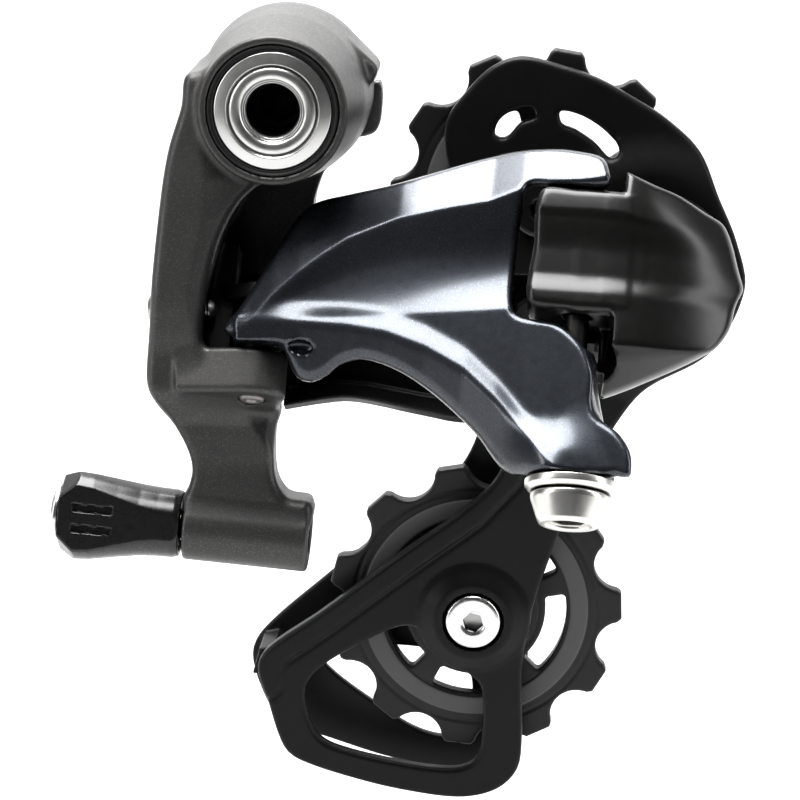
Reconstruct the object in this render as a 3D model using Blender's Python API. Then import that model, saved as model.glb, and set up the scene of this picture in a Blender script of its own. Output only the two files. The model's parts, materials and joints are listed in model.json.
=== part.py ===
"""Rear bicycle derailleur, modelled as its separate pieces at rest in the smallest sprocket's position.

Frame: the origin is the centre of the hanger bolt's threaded end, on the bolt's axis.
+X is the bicycle's forward direction, +Y points to the wheel, -Y is outboard, +Z is up.
Shapes are drawn in units of 0.9 mm, with their zero on the hanger bolt's axis in the face that
meets the frame's hanger. They become metres in the part's frame when each mesh is made.
In the names of faces, "outer" is the outboard side and "inner" the wheel side.
"""
import math
import bmesh
import bpy
import numpy as np
from mathutils import Vector
from mathutils.geometry import delaunay_2d_cdt

for stale in list(bpy.data.objects):
    bpy.data.objects.remove(stale)

UNIT = 0.0009                   # one drawing unit in metres
BOLT_END = Vector((0, 9.0, 0))  # the part's origin in drawing units

# ---- driving dimensions, in drawing units ----
SLANT = math.radians(30.0)      # tilt of the link pins from vertical
LEAN = 0.048                    # forward lean of the link pins
PULLEY_TEETH = 11
CHAIN_PITCH = 12.7 / 0.9
ROLLER_R = 3.9 / 0.9
PULLEY_TIP_R = 24.3
PULLEY_Y = 9.0                  # pulleys' mid-plane
GUIDE = (38.8, -19.5)           # pulley axes, X and Z
TENSION = (28.7, -87.7)
CAGE_PIVOT = (56.0, -29.0)      # cage axis, X and Z
HOUSING_R = 14.0
KNUCKLE_R = 11.05
BOLT_R = 5.45                   # M10
PIN_R = 1.95
TIGHT_HOLE_R = PIN_R + 0.1      # link pin holes
LOOSE_HOLE_R = PIN_R + 0.15
# Link pins in the link plane, as (a, b)
OUTER_UPPER = (-6.0, 4.0)
OUTER_LOWER = (42.0, -9.8)
PIN_OFFSET = (-3.0, 12.0)       # from an outer link pin to its inner link pin
INNER_UPPER = (OUTER_UPPER[0] + PIN_OFFSET[0], OUTER_UPPER[1] + PIN_OFFSET[1])
INNER_LOWER = (OUTER_LOWER[0] + PIN_OFFSET[0], OUTER_LOWER[1] + PIN_OFFSET[1])

# ---- frames: an origin, two drawing directions and a depth direction ----
# Link directions: a runs along the links, b inboard and down, h up the pins.
X, Y, Z = Vector((1, 0, 0)), Vector((0, 1, 0)), Vector((0, 0, 1))
ZERO = Vector((0, 0, 0))
PIN_DIR = Vector((LEAN, math.sin(SLANT), math.cos(SLANT))).normalized()
A_DIR = (X - PIN_DIR * PIN_DIR.x).normalized()
B_DIR = -A_DIR.cross(PIN_DIR).normalized()
LINK_ORIGIN = Vector((3.0, -26.0, -33.0))

SIDE = (ZERO, X, Z, Y)                              # drawn in X and Z, depth along Y
LINK_SIDE = (LINK_ORIGIN, A_DIR, PIN_DIR, B_DIR)    # drawn in a and h, depth along b
PIN_PLAN = (LINK_ORIGIN, A_DIR, B_DIR, PIN_DIR)     # drawn in a and b, height along h


def at(frame, u, v, w):
    """The point at drawing coordinates u, v and depth w in a frame."""
    origin, u_dir, v_dir, w_dir = frame
    return origin + u_dir * float(u) + v_dir * float(v) + w_dir * float(w)


# =====================================================================
# Outlines
# =====================================================================
def polar(centre, radius, angle):
    return (centre[0] + radius * math.cos(angle), centre[1] + radius * math.sin(angle))


def circle(centre, radius, sides):
    return [polar(centre, radius, 2 * math.pi * k / sides) for k in range(sides)]


def rectangle(x0, x1, y0, y1):
    return [(x0, y0), (x1, y0), (x1, y1), (x0, y1)]


def hull(points):
    """The convex outline round the points, counterclockwise."""
    ordered = sorted(set((round(x, 4), round(y, 4)) for x, y in points))

    def turns_left(p, q, r):
        return (q[0] - p[0]) * (r[1] - p[1]) - (q[1] - p[1]) * (r[0] - p[0]) > 0

    def half(sequence):
        chain = []
        for point in sequence:
            while len(chain) > 1 and not turns_left(chain[-2], chain[-1], point):
                chain.pop()
            chain.append(point)
        return chain
    return half(ordered)[:-1] + half(ordered[::-1])[:-1]


def spline(points, step, sharp=()):
    """A closed smooth outline through its control points; corners indexed in sharp stay sharp."""
    def tangent(before, here, after, span):
        path = np.linalg.norm(after - here) + np.linalg.norm(here - before)
        return (after - before) / path * span

    controls = [np.array(point, float) for point in points]
    n, out = len(controls), []
    for i in range(n):
        p0, p1 = controls[i - 1], controls[i]
        p2, p3 = controls[(i + 1) % n], controls[(i + 2) % n]
        span = np.linalg.norm(p2 - p1)
        m1 = np.zeros(2) if i in sharp else tangent(p0, p1, p2, span)
        m2 = np.zeros(2) if (i + 1) % n in sharp else tangent(p1, p2, p3, span)
        count = max(1, int(round(span / step)))
        for k in range(count):
            t = k / count
            out.append((2 * t**3 - 3 * t**2 + 1) * p1 + (t**3 - 2 * t**2 + t) * m1
                       + (-2 * t**3 + 3 * t**2) * p2 + (t**3 - t**2) * m2)
    return [tuple(point) for point in out]


def loop_edges(loop):
    start = np.array(loop)
    return zip(start, np.roll(start, -1, axis=0))


def edge_distance(points, loops):
    best = np.full(len(points), 1e9)
    for loop in loops:
        for start, end in loop_edges(loop):
            d = end - start
            t = np.clip(((points - start) @ d) / max(d @ d, 1e-12), 0, 1)
            gap = np.linalg.norm(points - (start + t[:, None] * d), axis=1)
            best = np.minimum(best, gap)
    return best


def inside(points, loop):
    hit = np.zeros(len(points), bool)
    x, y = points[:, 0], points[:, 1]
    for s, e in loop_edges(loop):
        cross = (s[1] > y) != (e[1] > y)
        if abs(e[1] - s[1]) > 1e-12:
            hit ^= cross & (x < (e[0] - s[0]) * (y - s[1]) / (e[1] - s[1]) + s[0])
    return hit


# =====================================================================
# Solids
# =====================================================================
def solid(name, verts, faces):
    """A new object from points in drawing units, with its faces turned outwards."""
    mesh = bpy.data.meshes.new(name)
    mesh.from_pydata([(Vector(v) - BOLT_END) * UNIT for v in verts], [], faces)
    bm = bmesh.new()
    bm.from_mesh(mesh)
    bmesh.ops.remove_doubles(bm, verts=bm.verts, dist=1e-7)
    bmesh.ops.recalc_face_normals(bm, faces=bm.faces)
    if bm.calc_volume(signed=True) < 0:
        bmesh.ops.reverse_faces(bm, faces=bm.faces)
    bm.to_mesh(mesh)
    bm.free()
    piece = bpy.data.objects.new(name, mesh)
    bpy.context.scene.collection.objects.link(piece)
    return piece


def prism(outline, frame, low, high):
    n = len(outline)
    verts = [at(frame, x, y, w) for w in (low, high) for x, y in outline]
    faces = [list(range(n))[::-1], list(range(n, 2 * n))]
    faces += [[k, (k + 1) % n, n + (k + 1) % n, n + k] for k in range(n)]
    return solid("prism", verts, faces)


def lathe(name, profile, origin, axis, sides, start=0.0):
    """A profile of (radius, distance along the axis) turned round the axis.

    It makes a ring when the profile never meets the axis."""
    axis = Vector(axis).normalized()
    side = axis.orthogonal().normalized()
    up = axis.cross(side)
    verts, rings = [], []
    for radius, distance in profile:
        centre = Vector(origin) + axis * distance
        first = len(verts)
        if radius < 1e-6:
            verts.append(centre)
        else:
            for k in range(sides):
                angle = start + 2 * math.pi * k / sides
                verts.append(centre + (side * math.cos(angle) + up * math.sin(angle)) * radius)
        rings.append(list(range(first, len(verts))))
    pairs = list(zip(rings, rings[1:]))
    if all(len(ring) > 1 for ring in rings):
        pairs.append((rings[-1], rings[0]))
    faces = []
    for p, q in pairs:
        for k in range(sides):
            j = (k + 1) % sides
            if len(p) == 1:
                faces.append([p[0], q[k], q[j]])
            elif len(q) == 1:
                faces.append([p[k], p[j], q[0]])
            else:
                faces.append([p[k], p[j], q[j], q[k]])
    return solid(name, verts, faces)


def rod(origin, axis, low, high, radius, sides):
    """A cylinder between two distances along an axis."""
    start, end = origin + axis * low, origin + axis * high
    length = (end - start).length
    profile = [(0, 0), (radius, 0), (radius, length), (0, length)]
    return lathe("rod", profile, start, end - start, sides)


def relief(name, frame, outline, outer, inner, step, round_outer=1.0, round_inner=0.0,
           holes=(), rings=(0.35, 1.0)):
    """A plate with a drawn outline, shaped outer and inner faces, and rounded edges.

    outer and inner give depths from the drawing coordinates. step is the grid spacing, and
    rings places rows of points beside the edges, as parts of the rounding radius."""
    loops = [list(outline)] + [list(hole) for hole in holes]
    rounding = max(round_outer, round_inner)
    border, edges, beside = [], [], []
    for loop in loops:
        start, n = len(border), len(loop)
        border += loop
        edges += [(start + k, start + (k + 1) % n) for k in range(n)]
        if rounding > 0:
            a = np.array(loop)
            tangent = np.roll(a, -1, axis=0) - np.roll(a, 1, axis=0)
            length = np.linalg.norm(tangent, axis=1)[:, None].clip(1e-9)
            normal = np.stack([-tangent[:, 1], tangent[:, 0]], 1) / length
            for part in rings:
                d = rounding * part
                for sign in (1, -1):
                    beside += [tuple(e) for e in (a + normal * d * sign)]
    low, high = np.min(loops[0], 0), np.max(loops[0], 0)
    grid = [(x + (step / 2 if j % 2 else 0), y)
            for j, y in enumerate(np.arange(low[1], high[1], step * 0.87))
            for x in np.arange(low[0], high[0], step)]

    def within(points):
        ok = inside(points, loops[0])
        for hole in loops[1:]:
            ok &= ~inside(points, hole)
        return ok

    chosen = []

    def choose(candidates, edge_gap, spacing):
        points = np.array(candidates)
        for q in points[within(points) & (edge_distance(points, loops) > edge_gap)]:
            if all((q[0] - c[0]) ** 2 + (q[1] - c[1]) ** 2 > spacing ** 2 for c in chosen):
                chosen.append(tuple(q))

    if beside:
        choose(beside, max(rounding * rings[0] * 0.8, 0.12), 0.3 * step)
    choose(grid, max(rounding, 0.4 * step), 0.55 * step)
    flat = delaunay_2d_cdt([Vector(q) for q in border + chosen], edges, [], 0, 1e-6)
    points = np.array([tuple(v) for v in flat[0]])
    kept = within(np.array([points[list(t)].mean(0) for t in flat[2]]))
    triangles = [list(t) for t, k in zip(flat[2], kept) if k]

    distance = edge_distance(points, loops)

    def edge_drop(r):
        return r - np.sqrt(np.maximum(0, r * r - np.maximum(0, r - distance) ** 2))

    outer_depth = outer(points[:, 0], points[:, 1]) + edge_drop(round_outer)
    inner_depth = inner(points[:, 0], points[:, 1]) - edge_drop(round_inner)
    inner_depth = np.maximum(inner_depth, outer_depth + 0.5)    # least thickness
    n = len(points)
    verts = [at(frame, x, y, w) for depth in (outer_depth, inner_depth)
             for (x, y), w in zip(points, depth)]
    faces = triangles + [[i + n for i in t[::-1]] for t in triangles]
    # An edge used in one direction only is on the border and gets a wall.
    directed = dict.fromkeys((i, j) for t in triangles for i, j in zip(t, t[1:] + t[:1]))
    faces += [[j, i, i + n, j + n] for i, j in directed if (j, i) not in directed]
    return solid(name, verts, faces)


def boolean(base, others, operation):
    for other in others:
        modifier = base.modifiers.new("boolean", "BOOLEAN")
        modifier.operation = operation
        modifier.solver = "EXACT"
        modifier.object = other
        graph = bpy.context.evaluated_depsgraph_get()
        mesh = bpy.data.meshes.new_from_object(base.evaluated_get(graph))
        base.modifiers.clear()
        old = base.data
        base.data = mesh
        bpy.data.meshes.remove(old)
        bpy.data.objects.remove(other)


def join(base, *parts):
    boolean(base, parts, "UNION")


def cut(base, *cutters):
    boolean(base, cutters, "DIFFERENCE")


def finish(piece, material, origin, smooth=35):
    """Clean the mesh, move the object's origin, and set its material and shading."""
    mesh = piece.data
    shift = (Vector(origin) - BOLT_END) * UNIT
    bm = bmesh.new()
    bm.from_mesh(mesh)
    bmesh.ops.dissolve_degenerate(bm, edges=bm.edges, dist=2e-6)
    bmesh.ops.triangulate(bm, faces=[f for f in bm.faces if len(f.verts) > 4])
    bmesh.ops.translate(bm, verts=bm.verts, vec=-shift)
    piece.location = shift
    bm.to_mesh(mesh)
    bm.free()
    mesh.materials.clear()
    mesh.materials.append(material)
    mesh.shade_smooth()
    mesh.set_sharp_from_angle(angle=math.radians(smooth))


def turned(name, profile, origin, axis, sides, material):
    """A finished lathe piece with its origin at the profile's zero."""
    finish(lathe(name, profile, origin, axis, sides), material, origin)


def spring(name, origin, axis, radius, wire, low, high, turns):
    """A coil of square wire; wire is half the square's diagonal."""
    steps, sides = 9, 4     # per turn, and round the wire
    axis = Vector(axis).normalized()
    side = axis.orthogonal().normalized()
    up = axis.cross(side)
    count = int(turns * steps) + 1
    verts = []
    for k in range(count):
        angle = 2 * math.pi * k / steps
        out = side * math.cos(angle) + up * math.sin(angle)
        middle = Vector(origin) + axis * (low + (high - low) * k / (count - 1)) + out * radius
        for s in range(sides):
            around = 2 * math.pi * s / sides
            verts.append(middle + out * wire * math.cos(around) + axis * wire * math.sin(around))
    faces = [list(range(sides)), list(range(len(verts) - sides, len(verts)))]
    for k in range(0, (count - 1) * sides, sides):
        for s in range(sides):
            j = (s + 1) % sides
            faces.append([k + s, k + j, k + sides + j, k + sides + s])
    finish(solid(name, verts, faces), SPRING, origin)


def slotted_screw(name, profile, origin, sides, slot_half, slot_reach, slot_depth):
    """A screw along +X with a slot across its rear end."""
    screw = lathe(name, profile, origin, X, sides)
    slot = rectangle(-slot_half, slot_half, -slot_reach, slot_reach)
    cut(screw, prism(slot, (origin, Y, Z, X), -0.5, slot_depth))
    finish(screw, STEEL, origin)


def const(value):
    return lambda x, y: np.full(len(x), float(value))


def ramp(x, x0, x1):
    """A smooth step from 0 at x0 to 1 at x1."""
    t = np.clip((x - x0) / (x1 - x0), 0, 1)
    return t * t * (3 - 2 * t)


def table_height(table, a):
    return np.interp(a, *zip(*table))


# =====================================================================
# Materials
# =====================================================================
def colour(name, rgb, roughness, metallic):
    material = bpy.data.materials.new(name)
    material.use_nodes = True
    shader = material.node_tree.nodes["Principled BSDF"]
    shader.inputs["Base Color"].default_value = (*rgb, 1)
    shader.inputs["Roughness"].default_value = roughness
    shader.inputs["Metallic"].default_value = metallic
    material.diffuse_color = (*rgb, 1)
    return material


CASTING = colour("knuckle_paint", rgb=(0.085, 0.08, 0.078), roughness=0.42, metallic=0.6)
LINK = colour("link_paint", rgb=(0.09, 0.11, 0.15), roughness=0.32, metallic=0.8)
GLOSS = colour("gloss_black", rgb=(0.02, 0.019, 0.018), roughness=0.22, metallic=0.2)
SATIN = colour("satin_black", rgb=(0.022, 0.022, 0.023), roughness=0.45, metallic=0.0)
PULLEY = colour("pulley_plastic", rgb=(0.025, 0.025, 0.027), roughness=0.5, metallic=0.0)
STEEL = colour("steel", rgb=(0.55, 0.55, 0.54), roughness=0.3, metallic=1.0)
SILVER = colour("silver_bolt", rgb=(0.72, 0.72, 0.7), roughness=0.25, metallic=1.0)
RUBBER = colour("seal_rubber", rgb=(0.012, 0.012, 0.012), roughness=0.7, metallic=0.0)
SPRING = colour("spring_steel", rgb=(0.3, 0.3, 0.3), roughness=0.35, metallic=1.0)
PLATE = colour("plate_steel", rgb=(0.3, 0.3, 0.3), roughness=0.4, metallic=0.9)

# ---- places shared by several pieces ----
OUTER_UPPER_AT = at(PIN_PLAN, *OUTER_UPPER, 0)
INNER_UPPER_AT = at(PIN_PLAN, *INNER_UPPER, 0)
OUTER_LOWER_AT = at(PIN_PLAN, *OUTER_LOWER, 0)
INNER_LOWER_AT = at(PIN_PLAN, *INNER_LOWER, 0)
CLAMP = (42.8, -9.5)                            # cable clamp axis, a and b
CLAMP_AT = at(PIN_PLAN, *CLAMP, 0)
PLATE_SCREW_Y, PLATE_SCREW_Z = 3.2, -9.7        # axis of the hanger plate's screw
LIMIT_SCREWS = (("high_limit_screw", -21.5), ("low_limit_screw", -15.6))    # name, Y
LIMIT_Z = -31
ADJUSTER_DIR = Vector((math.cos(math.radians(5)), 0, -math.sin(math.radians(5))))
ADJUSTER_AT = Vector((-14.6, -22.0, -64.9))
PIVOT = Vector((CAGE_PIVOT[0], 0, CAGE_PIVOT[1]))
GUIDE_AT = Vector((GUIDE[0], 0, GUIDE[1]))
TENSION_AT = Vector((TENSION[0], 0, TENSION[1]))
STOP_ANGLE = math.radians(243.5)
STOP_PIN_AT = PIVOT + Vector((17.3 * math.cos(STOP_ANGLE), 0, 17.3 * math.sin(STOP_ANGLE)))

# =====================================================================
# Hanger bolt and the pieces round it
# =====================================================================
hanger_bolt = lathe("hanger_bolt", [
    (0, 9.0), (4.85, 9.0), (BOLT_R, 8.4), (BOLT_R, -23.4), (8.7, -23.4), (8.7, -26.6),
    (8.3, -27.0), (6.9, -27.0), (6.5, -26.3), (6.1, -26.3), (5.8, -27.1), (4.7, -27.1),
    (4.3, -25.6), (3.1, -25.6), (3.1, -19.5), (0, -18.6)], ZERO, Y, 25)
# Dissolving the centre vertex leaves one flat face at the threaded end.
bm = bmesh.new()
bm.from_mesh(hanger_bolt.data)
bmesh.ops.dissolve_verts(bm, verts=[v for v in bm.verts if v.co.length < 1e-6])
bm.to_mesh(hanger_bolt.data)
bm.free()
finish(hanger_bolt, SILVER, ZERO)

# Outline in X, Z
STOP_PLATE = [
    (11, 0), (13.9, 0.9), (14.2, -3.5), (13.2, -7.0), (9.5, -8.2), (4, -11), (-4, -11.6),
    (-9, -14.2), (-13, -13), (-13.4, -8), (-11, -3), (-11, 3), (-7, 8.6), (0, 11), (7, 8.6)]
stop_plate = relief("hanger_stop_plate", SIDE, spline(STOP_PLATE, 2.2), const(-2.5), const(0.0),
                    4.0, 0.0, 0.0, holes=[circle((0, 0), 5.85, 20)])
join(stop_plate, prism(rectangle(-2.4, 5.8, -13.2, -6.2), (ZERO, Y, Z, X), -12.6, -9.2))
cut(stop_plate, rod(Vector((0, PLATE_SCREW_Y, PLATE_SCREW_Z)), X, -20, 0, 2.15, 14))
finish(stop_plate, PLATE, ZERO)

slotted_screw("hanger_tension_screw", [
    (0, 0), (2.6, 0), (3.1, 0.5), (3.1, 2.0), (1.9, 2.0), (1.9, 13.2), (1.2, 14.0), (0, 14.0)],
    Vector((-16.4, PLATE_SCREW_Y, PLATE_SCREW_Z)), 16,
    slot_half=0.45, slot_reach=4, slot_depth=0.9)

# An open ring round the bolt
clip_angles = np.linspace(-0.75 * math.pi, 1.15 * math.pi - 0.5, 18)
clip_outline = ([polar((0, 0), 5.65, t) for t in clip_angles][::-1]
                + [polar((0, 0), 7.3, t) for t in clip_angles])
clip = relief("hanger_bolt_clip", SIDE, clip_outline, const(-13.7), const(-12.9), 6.0, 0.0)
finish(clip, STEEL, ZERO)
spring("knuckle_spring", ZERO, Y, 7.7, 0.75, -11.8, -3.7, 4.0)

# =====================================================================
# Upper body
# =====================================================================
# Outlines in X, Z
ARM = [
    (-12.6, 5), (-13.9, -0.1), (-15.9, -6.3), (-17.2, -13), (-18.4, -23.5), (-19.1, -33),
    (-19.6, -41.0), (-18.3, -45.2), (-15.6, -49.2), (-13.8, -53), (-13.3, -56), (-14.2, -62),
    (-6, -65), (3, -65), (4.8, -60.6), (1.2, -59.6), (-0.5, -56.5), (-0.6, -50), (0.0, -46.5),
    (-1.5, -43), (-8, -41), (-10.5, -37), (-10.9, -32), (-9.8, -24.8), (-8.3, -19.5),
    (-5.5, -14.5), (0, -9), (1, 4)]
STOP_EAR = [(4, 11), (8.6, 8.2), (12.4, 6.0), (14.2, 3.9), (13.4, 2.0), (9, 1.7), (4, -2), (0, 5)]
WEB = [(10, -4), (8.7, -8.4), (6.1, -11.6), (3.4, -17.3), (-3, -22.5), (-12, -22), (-14, -8),
       (-6, 0)]
# Outline in a, b
REAR_WALL = [(-17.05, 4.4), (-10.3, 5.0), (-10.4, 9.6), (-14.3, 10.9), (-14.2, 18.3),
             (-17.1, 18.6)]
EAR_REAR = -17.5    # a, where the ears run into the arm


def arm_outer(x, z):
    return (-25.6 - 1.4 * ramp(-z, 18, 34) + 2.4 * ramp(-z, 43, 50)
            - 0.6 * ramp(-z, 54, 62))


def arm_inner(x, z):
    return -8.0 - 4.0 * ramp(-z, 18, 33) - 6.8 * ramp(-z, 33, 41)


b_knuckle = lathe("b_knuckle", [
    (0, -26.6), (10.5, -26.6), (KNUCKLE_R, -26.1), (11.5, -23), (12.6, -14), (13.2, -6),
    (13.2, -3.6), (12.6, -2.9), (0, -2.9)], ZERO, Y, 36)
arm = relief("arm", SIDE, spline(ARM, 4.0), arm_outer, arm_inner, 4.6, 2.6, 1.0)
stop_ear = relief("ear", SIDE, spline(STOP_EAR, 2.4, sharp=(4,)), const(-10.5), const(-3.2),
                  6.0, 1.0, rings=(0.6,))
web = relief("web", SIDE, spline(WEB, 3.0), const(-8.2), const(-3.2), 7.0, 0.0)
foot = prism(hull(circle(OUTER_UPPER, 4.9, 20) + circle(INNER_UPPER, 4.9, 20)
                  + [(EAR_REAR, OUTER_UPPER[1] - 2), (EAR_REAR, INNER_UPPER[1] + 1)]),
             PIN_PLAN, -10.0, -3.0)
top_ear = prism(hull(circle(INNER_UPPER, 3.9, 18)
                     + [(EAR_REAR, INNER_UPPER[1] - 3), (EAR_REAR, INNER_UPPER[1] + 1)]),
                PIN_PLAN, 12.0, 15.4)
rear_wall = prism(REAR_WALL, PIN_PLAN, -8.7, 14.6)
middle_ear = prism(hull(circle(OUTER_UPPER, 3.2, 18) + [(-13.2, 5.6), (-13.2, 8.8)]),
                   PIN_PLAN, 5.2, 7.7)
barrel = rod(ADJUSTER_AT, ADJUSTER_DIR, 0, 19.2, 5.35, 26)
join(b_knuckle, arm, stop_ear, web, foot, top_ear, rear_wall, middle_ear, barrel)
cut(b_knuckle,
    rod(ZERO, Y, -40, 5, 5.8, 26),          # bolt bore
    rod(ZERO, Y, -40, -23.2, 9.85, 36),     # bolt head and seal recess
    rod(ZERO, Y, -14.2, 5, 9.3, 30),        # spring recess
    rod(OUTER_UPPER_AT, PIN_DIR, -20, 20, TIGHT_HOLE_R, 16),
    rod(INNER_UPPER_AT, PIN_DIR, -20, 20, TIGHT_HOLE_R, 16),
    rod(ADJUSTER_AT, ADJUSTER_DIR, -5, 25, 2.7, 16))
for _, y in LIMIT_SCREWS:
    screw_axis = Vector((0, y, LIMIT_Z))
    cut(b_knuckle,
        rod(screw_axis, X, -30, -17.4, 2.35, 14),   # head
        rod(screw_axis, X, -30, -8, 1.75, 14))      # shank
finish(b_knuckle, CASTING, ZERO)

turned("knuckle_seal", [(8.85, -26.4), (9.7, -26.4), (9.7, -23.6), (8.85, -23.6)],
       ZERO, Y, 36, RUBBER)

for name, y in LIMIT_SCREWS:
    slotted_screw(name, [
        (0, 0), (1.7, 0), (2.15, 0.4), (2.15, 1.7), (1.55, 1.7), (1.55, 9.4), (1.0, 10.0),
        (0, 10.0)], Vector((-19.6, y, LIMIT_Z)), 14,
        slot_half=0.4, slot_reach=3, slot_depth=0.7)


def link_pin(name, place, low, high):
    """A link pin between two heights, with both ends chamfered."""
    profile = [(0, low), (1.6, low), (PIN_R, low + 0.4), (PIN_R, high - 0.4), (1.6, high), (0, high)]
    turned(name, profile, place, PIN_DIR, 16, STEEL)


link_pin("link_pin_outer_upper", OUTER_UPPER_AT, -10.3, 8.2)
link_pin("link_pin_inner_upper", INNER_UPPER_AT, -10.3, 15.7)
spring("return_spring", OUTER_UPPER_AT, PIN_DIR, 2.75, 0.4, 1.9, 4.5, 2.5)

# =====================================================================
# Cable adjuster
# =====================================================================
# The knob has eight sides.
knob = lathe("barrel_adjuster", [
    (2.75, -0.9), (4.6, -0.9), (5.2, -1.6), (5.2, -4.0), (5.7, -8), (6.6, -12.0), (6.7, -17.6),
    (5.9, -19.2), (2.75, -19.2)], ADJUSTER_AT, ADJUSTER_DIR, 8, math.radians(22.5))
cut(knob, rod(ADJUSTER_AT, ADJUSTER_DIR, -8.6, 3, 4.25, 16))    # spring recess
finish(knob, GLOSS, ADJUSTER_AT)
turned("adjuster_bolt", [(1.2, -19.0), (2.45, -19.0), (2.45, 9.0), (2.0, 9.6), (1.2, 9.6)],
       ADJUSTER_AT, ADJUSTER_DIR, 14, STEEL)
turned("adjuster_end_ring", [(1.3, -21.2), (3.6, -21.2), (4.3, -20.7), (4.3, -19.5), (1.3, -19.5)],
       ADJUSTER_AT, ADJUSTER_DIR, 18, SILVER)
spring("adjuster_spring", ADJUSTER_AT, ADJUSTER_DIR, 3.4, 0.45, -7.6, -0.7, 4.5)

# =====================================================================
# Outer link
# =====================================================================
# Outline in a, h
OUTER_LINK = [
    (-10.6, -0.9), (-8.6, 2.8), (-5.4, 9.1), (-2.2, 15.7), (0.6, 19.4), (7.3, 21.5),
    (14.1, 23.4), (20.5, 25.5), (29.1, 28.0), (36.6, 28.3), (42, 26.6), (44.9, 23.6),
    (44.6, 20.9), (37.1, 21.2), (33.6, 21.3), (32.8, 17), (32.3, 8), (32.6, 2.6), (34, 1.4),
    (38.6, 0.5), (42.6, -1.0), (45, -7.1), (45.4, -12.9), (49.3, -16.2), (51.1, -19.4),
    (50.9, -24.3), (50.0, -24.2), (49.4, -22.3), (45.2, -22.3), (37, -22.3), (33.2, -21.3),
    (28.5, -15.7), (22.5, -10.4), (16.5, -6.6), (11, -4.8), (7.2, -5.9), (4.1, -8.0),
    (1.6, -8.0), (0.3, -5.9), (-1.6, -2.6)]
# Ridges that bound the raised middle of the outer face, in a, h
UPPER_RIDGE = [(-11, -4), (-7, -0.4), (-3.6, 4.0), (0, 7.5), (3.5, 10.3), (7.2, 13.0),
               (14.6, 16.2), (22, 17.7), (28, 18.6), (33, 20.6), (46, 22.5)]
LOWER_RIDGE = [(-11, 0.8), (-2, 0.8), (8, 0.2), (14, -0.8), (20, -3.1), (26, -6.5),
               (31, -11.1), (36, -16.7), (39, -20.4), (50, -30)]


def outer_link_outer(a, h):
    upper, lower = table_height(UPPER_RIDGE, a), table_height(LOWER_RIDGE, a)
    base = -4.6 - 0.21 * a
    above = np.maximum(0, h - upper)
    below = np.maximum(0, lower - h)
    return (base + (0.18 + 0.3 * ramp(a, 0, 16)) * above + 0.4 * below
            + 0.9 * ramp(np.minimum(h - lower, upper - h), 0, 9))


def outer_link_inner(a, h):
    return outer_link_outer(a, h) + 2.4


# b near the link's two ends, from which the pin bosses reach into it
rear_b = -4.0 - 0.222 * -3 + 1.6
fore_b = -4.0 - 0.222 * OUTER_LOWER[0] + 1.8
lower_boss = circle(OUTER_LOWER, 3.4, 20)
outer_link = relief("outer_link", LINK_SIDE, spline(OUTER_LINK, 2.4), outer_link_outer,
                    outer_link_inner, 4.2, 0.9, rings=(0.6,))
join(outer_link,
     prism(hull(circle(OUTER_UPPER, 3.5, 20) + [(-8.5, rear_b - 0.6), (0.5, rear_b - 1.8)]),
           PIN_PLAN, -2.6, 1.2),
     prism(hull(lower_boss + [(36.5, fore_b + 1.2), (43.5, fore_b + 0.4)]),
           PIN_PLAN, -14.0, 0.0),
     prism(hull(lower_boss + [(36.5, fore_b + 1.4), (43.0, fore_b + 0.6)]),
           PIN_PLAN, 21.2, 25.0),
     prism(hull(circle(CLAMP, 6.5, 24) + [(50.6, -11.5), (50.6, -8.5)]),
           PIN_PLAN, -22.3, -13.6))
cut(outer_link,
    rod(OUTER_UPPER_AT, PIN_DIR, -20, 30, LOOSE_HOLE_R, 16),
    rod(OUTER_LOWER_AT, PIN_DIR, -13.2, 40, TIGHT_HOLE_R, 16),
    rod(CLAMP_AT, PIN_DIR, -40, -15.6, 2.6, 16))
finish(outer_link, LINK, OUTER_UPPER_AT)

# =====================================================================
# Inner link
# =====================================================================
# Outline in a, h
INNER_LINK = [
    (-9, -2.6), (-3.4, -2.6), (-2.5, -4.5), (-2.3, -8.4), (6.2, -7.2), (10.3, -7.5),
    (18.9, -9.4), (26.7, -10.7), (33, -9), (35.5, -4.6), (39, -4.6), (39, -0.4), (34.5, -0.4),
    (32.5, 1.4), (32.5, 6.6), (34.5, 8.4), (39, 8.4), (39, 11.4), (30, 12.0), (16, 11.8),
    (0, 11.6), (-9, 11.6)]
INNER_SLOPE = (INNER_LOWER[1] - INNER_UPPER[1]) / (INNER_LOWER[0] - INNER_UPPER[0])


def inner_link_middle(a):
    return INNER_UPPER[1] + INNER_SLOPE * (a - INNER_UPPER[0])


inner_link = relief(
    "inner_link", LINK_SIDE,
    spline(INNER_LINK, 3.2, sharp=(0, 1, 3, 9, 10, 11, 12, 15, 16, 17, 21)),
    lambda a, h: inner_link_middle(a) - 1.6, lambda a, h: inner_link_middle(a) + 1.6, 5.0, 0.0)
join(inner_link,
     prism(circle(INNER_UPPER, 4.3, 20), PIN_PLAN, -2.75, 11.75),
     prism(circle(INNER_LOWER, 4.0, 20), PIN_PLAN, -4.75, -0.25),
     prism(circle(INNER_LOWER, 4.0, 20), PIN_PLAN, 8.25, 11.55))
cut(inner_link,
    rod(INNER_UPPER_AT, PIN_DIR, -20, 30, LOOSE_HOLE_R, 16),
    rod(INNER_LOWER_AT, PIN_DIR, -20, 30, TIGHT_HOLE_R, 16))
finish(inner_link, SATIN, INNER_UPPER_AT)

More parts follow.
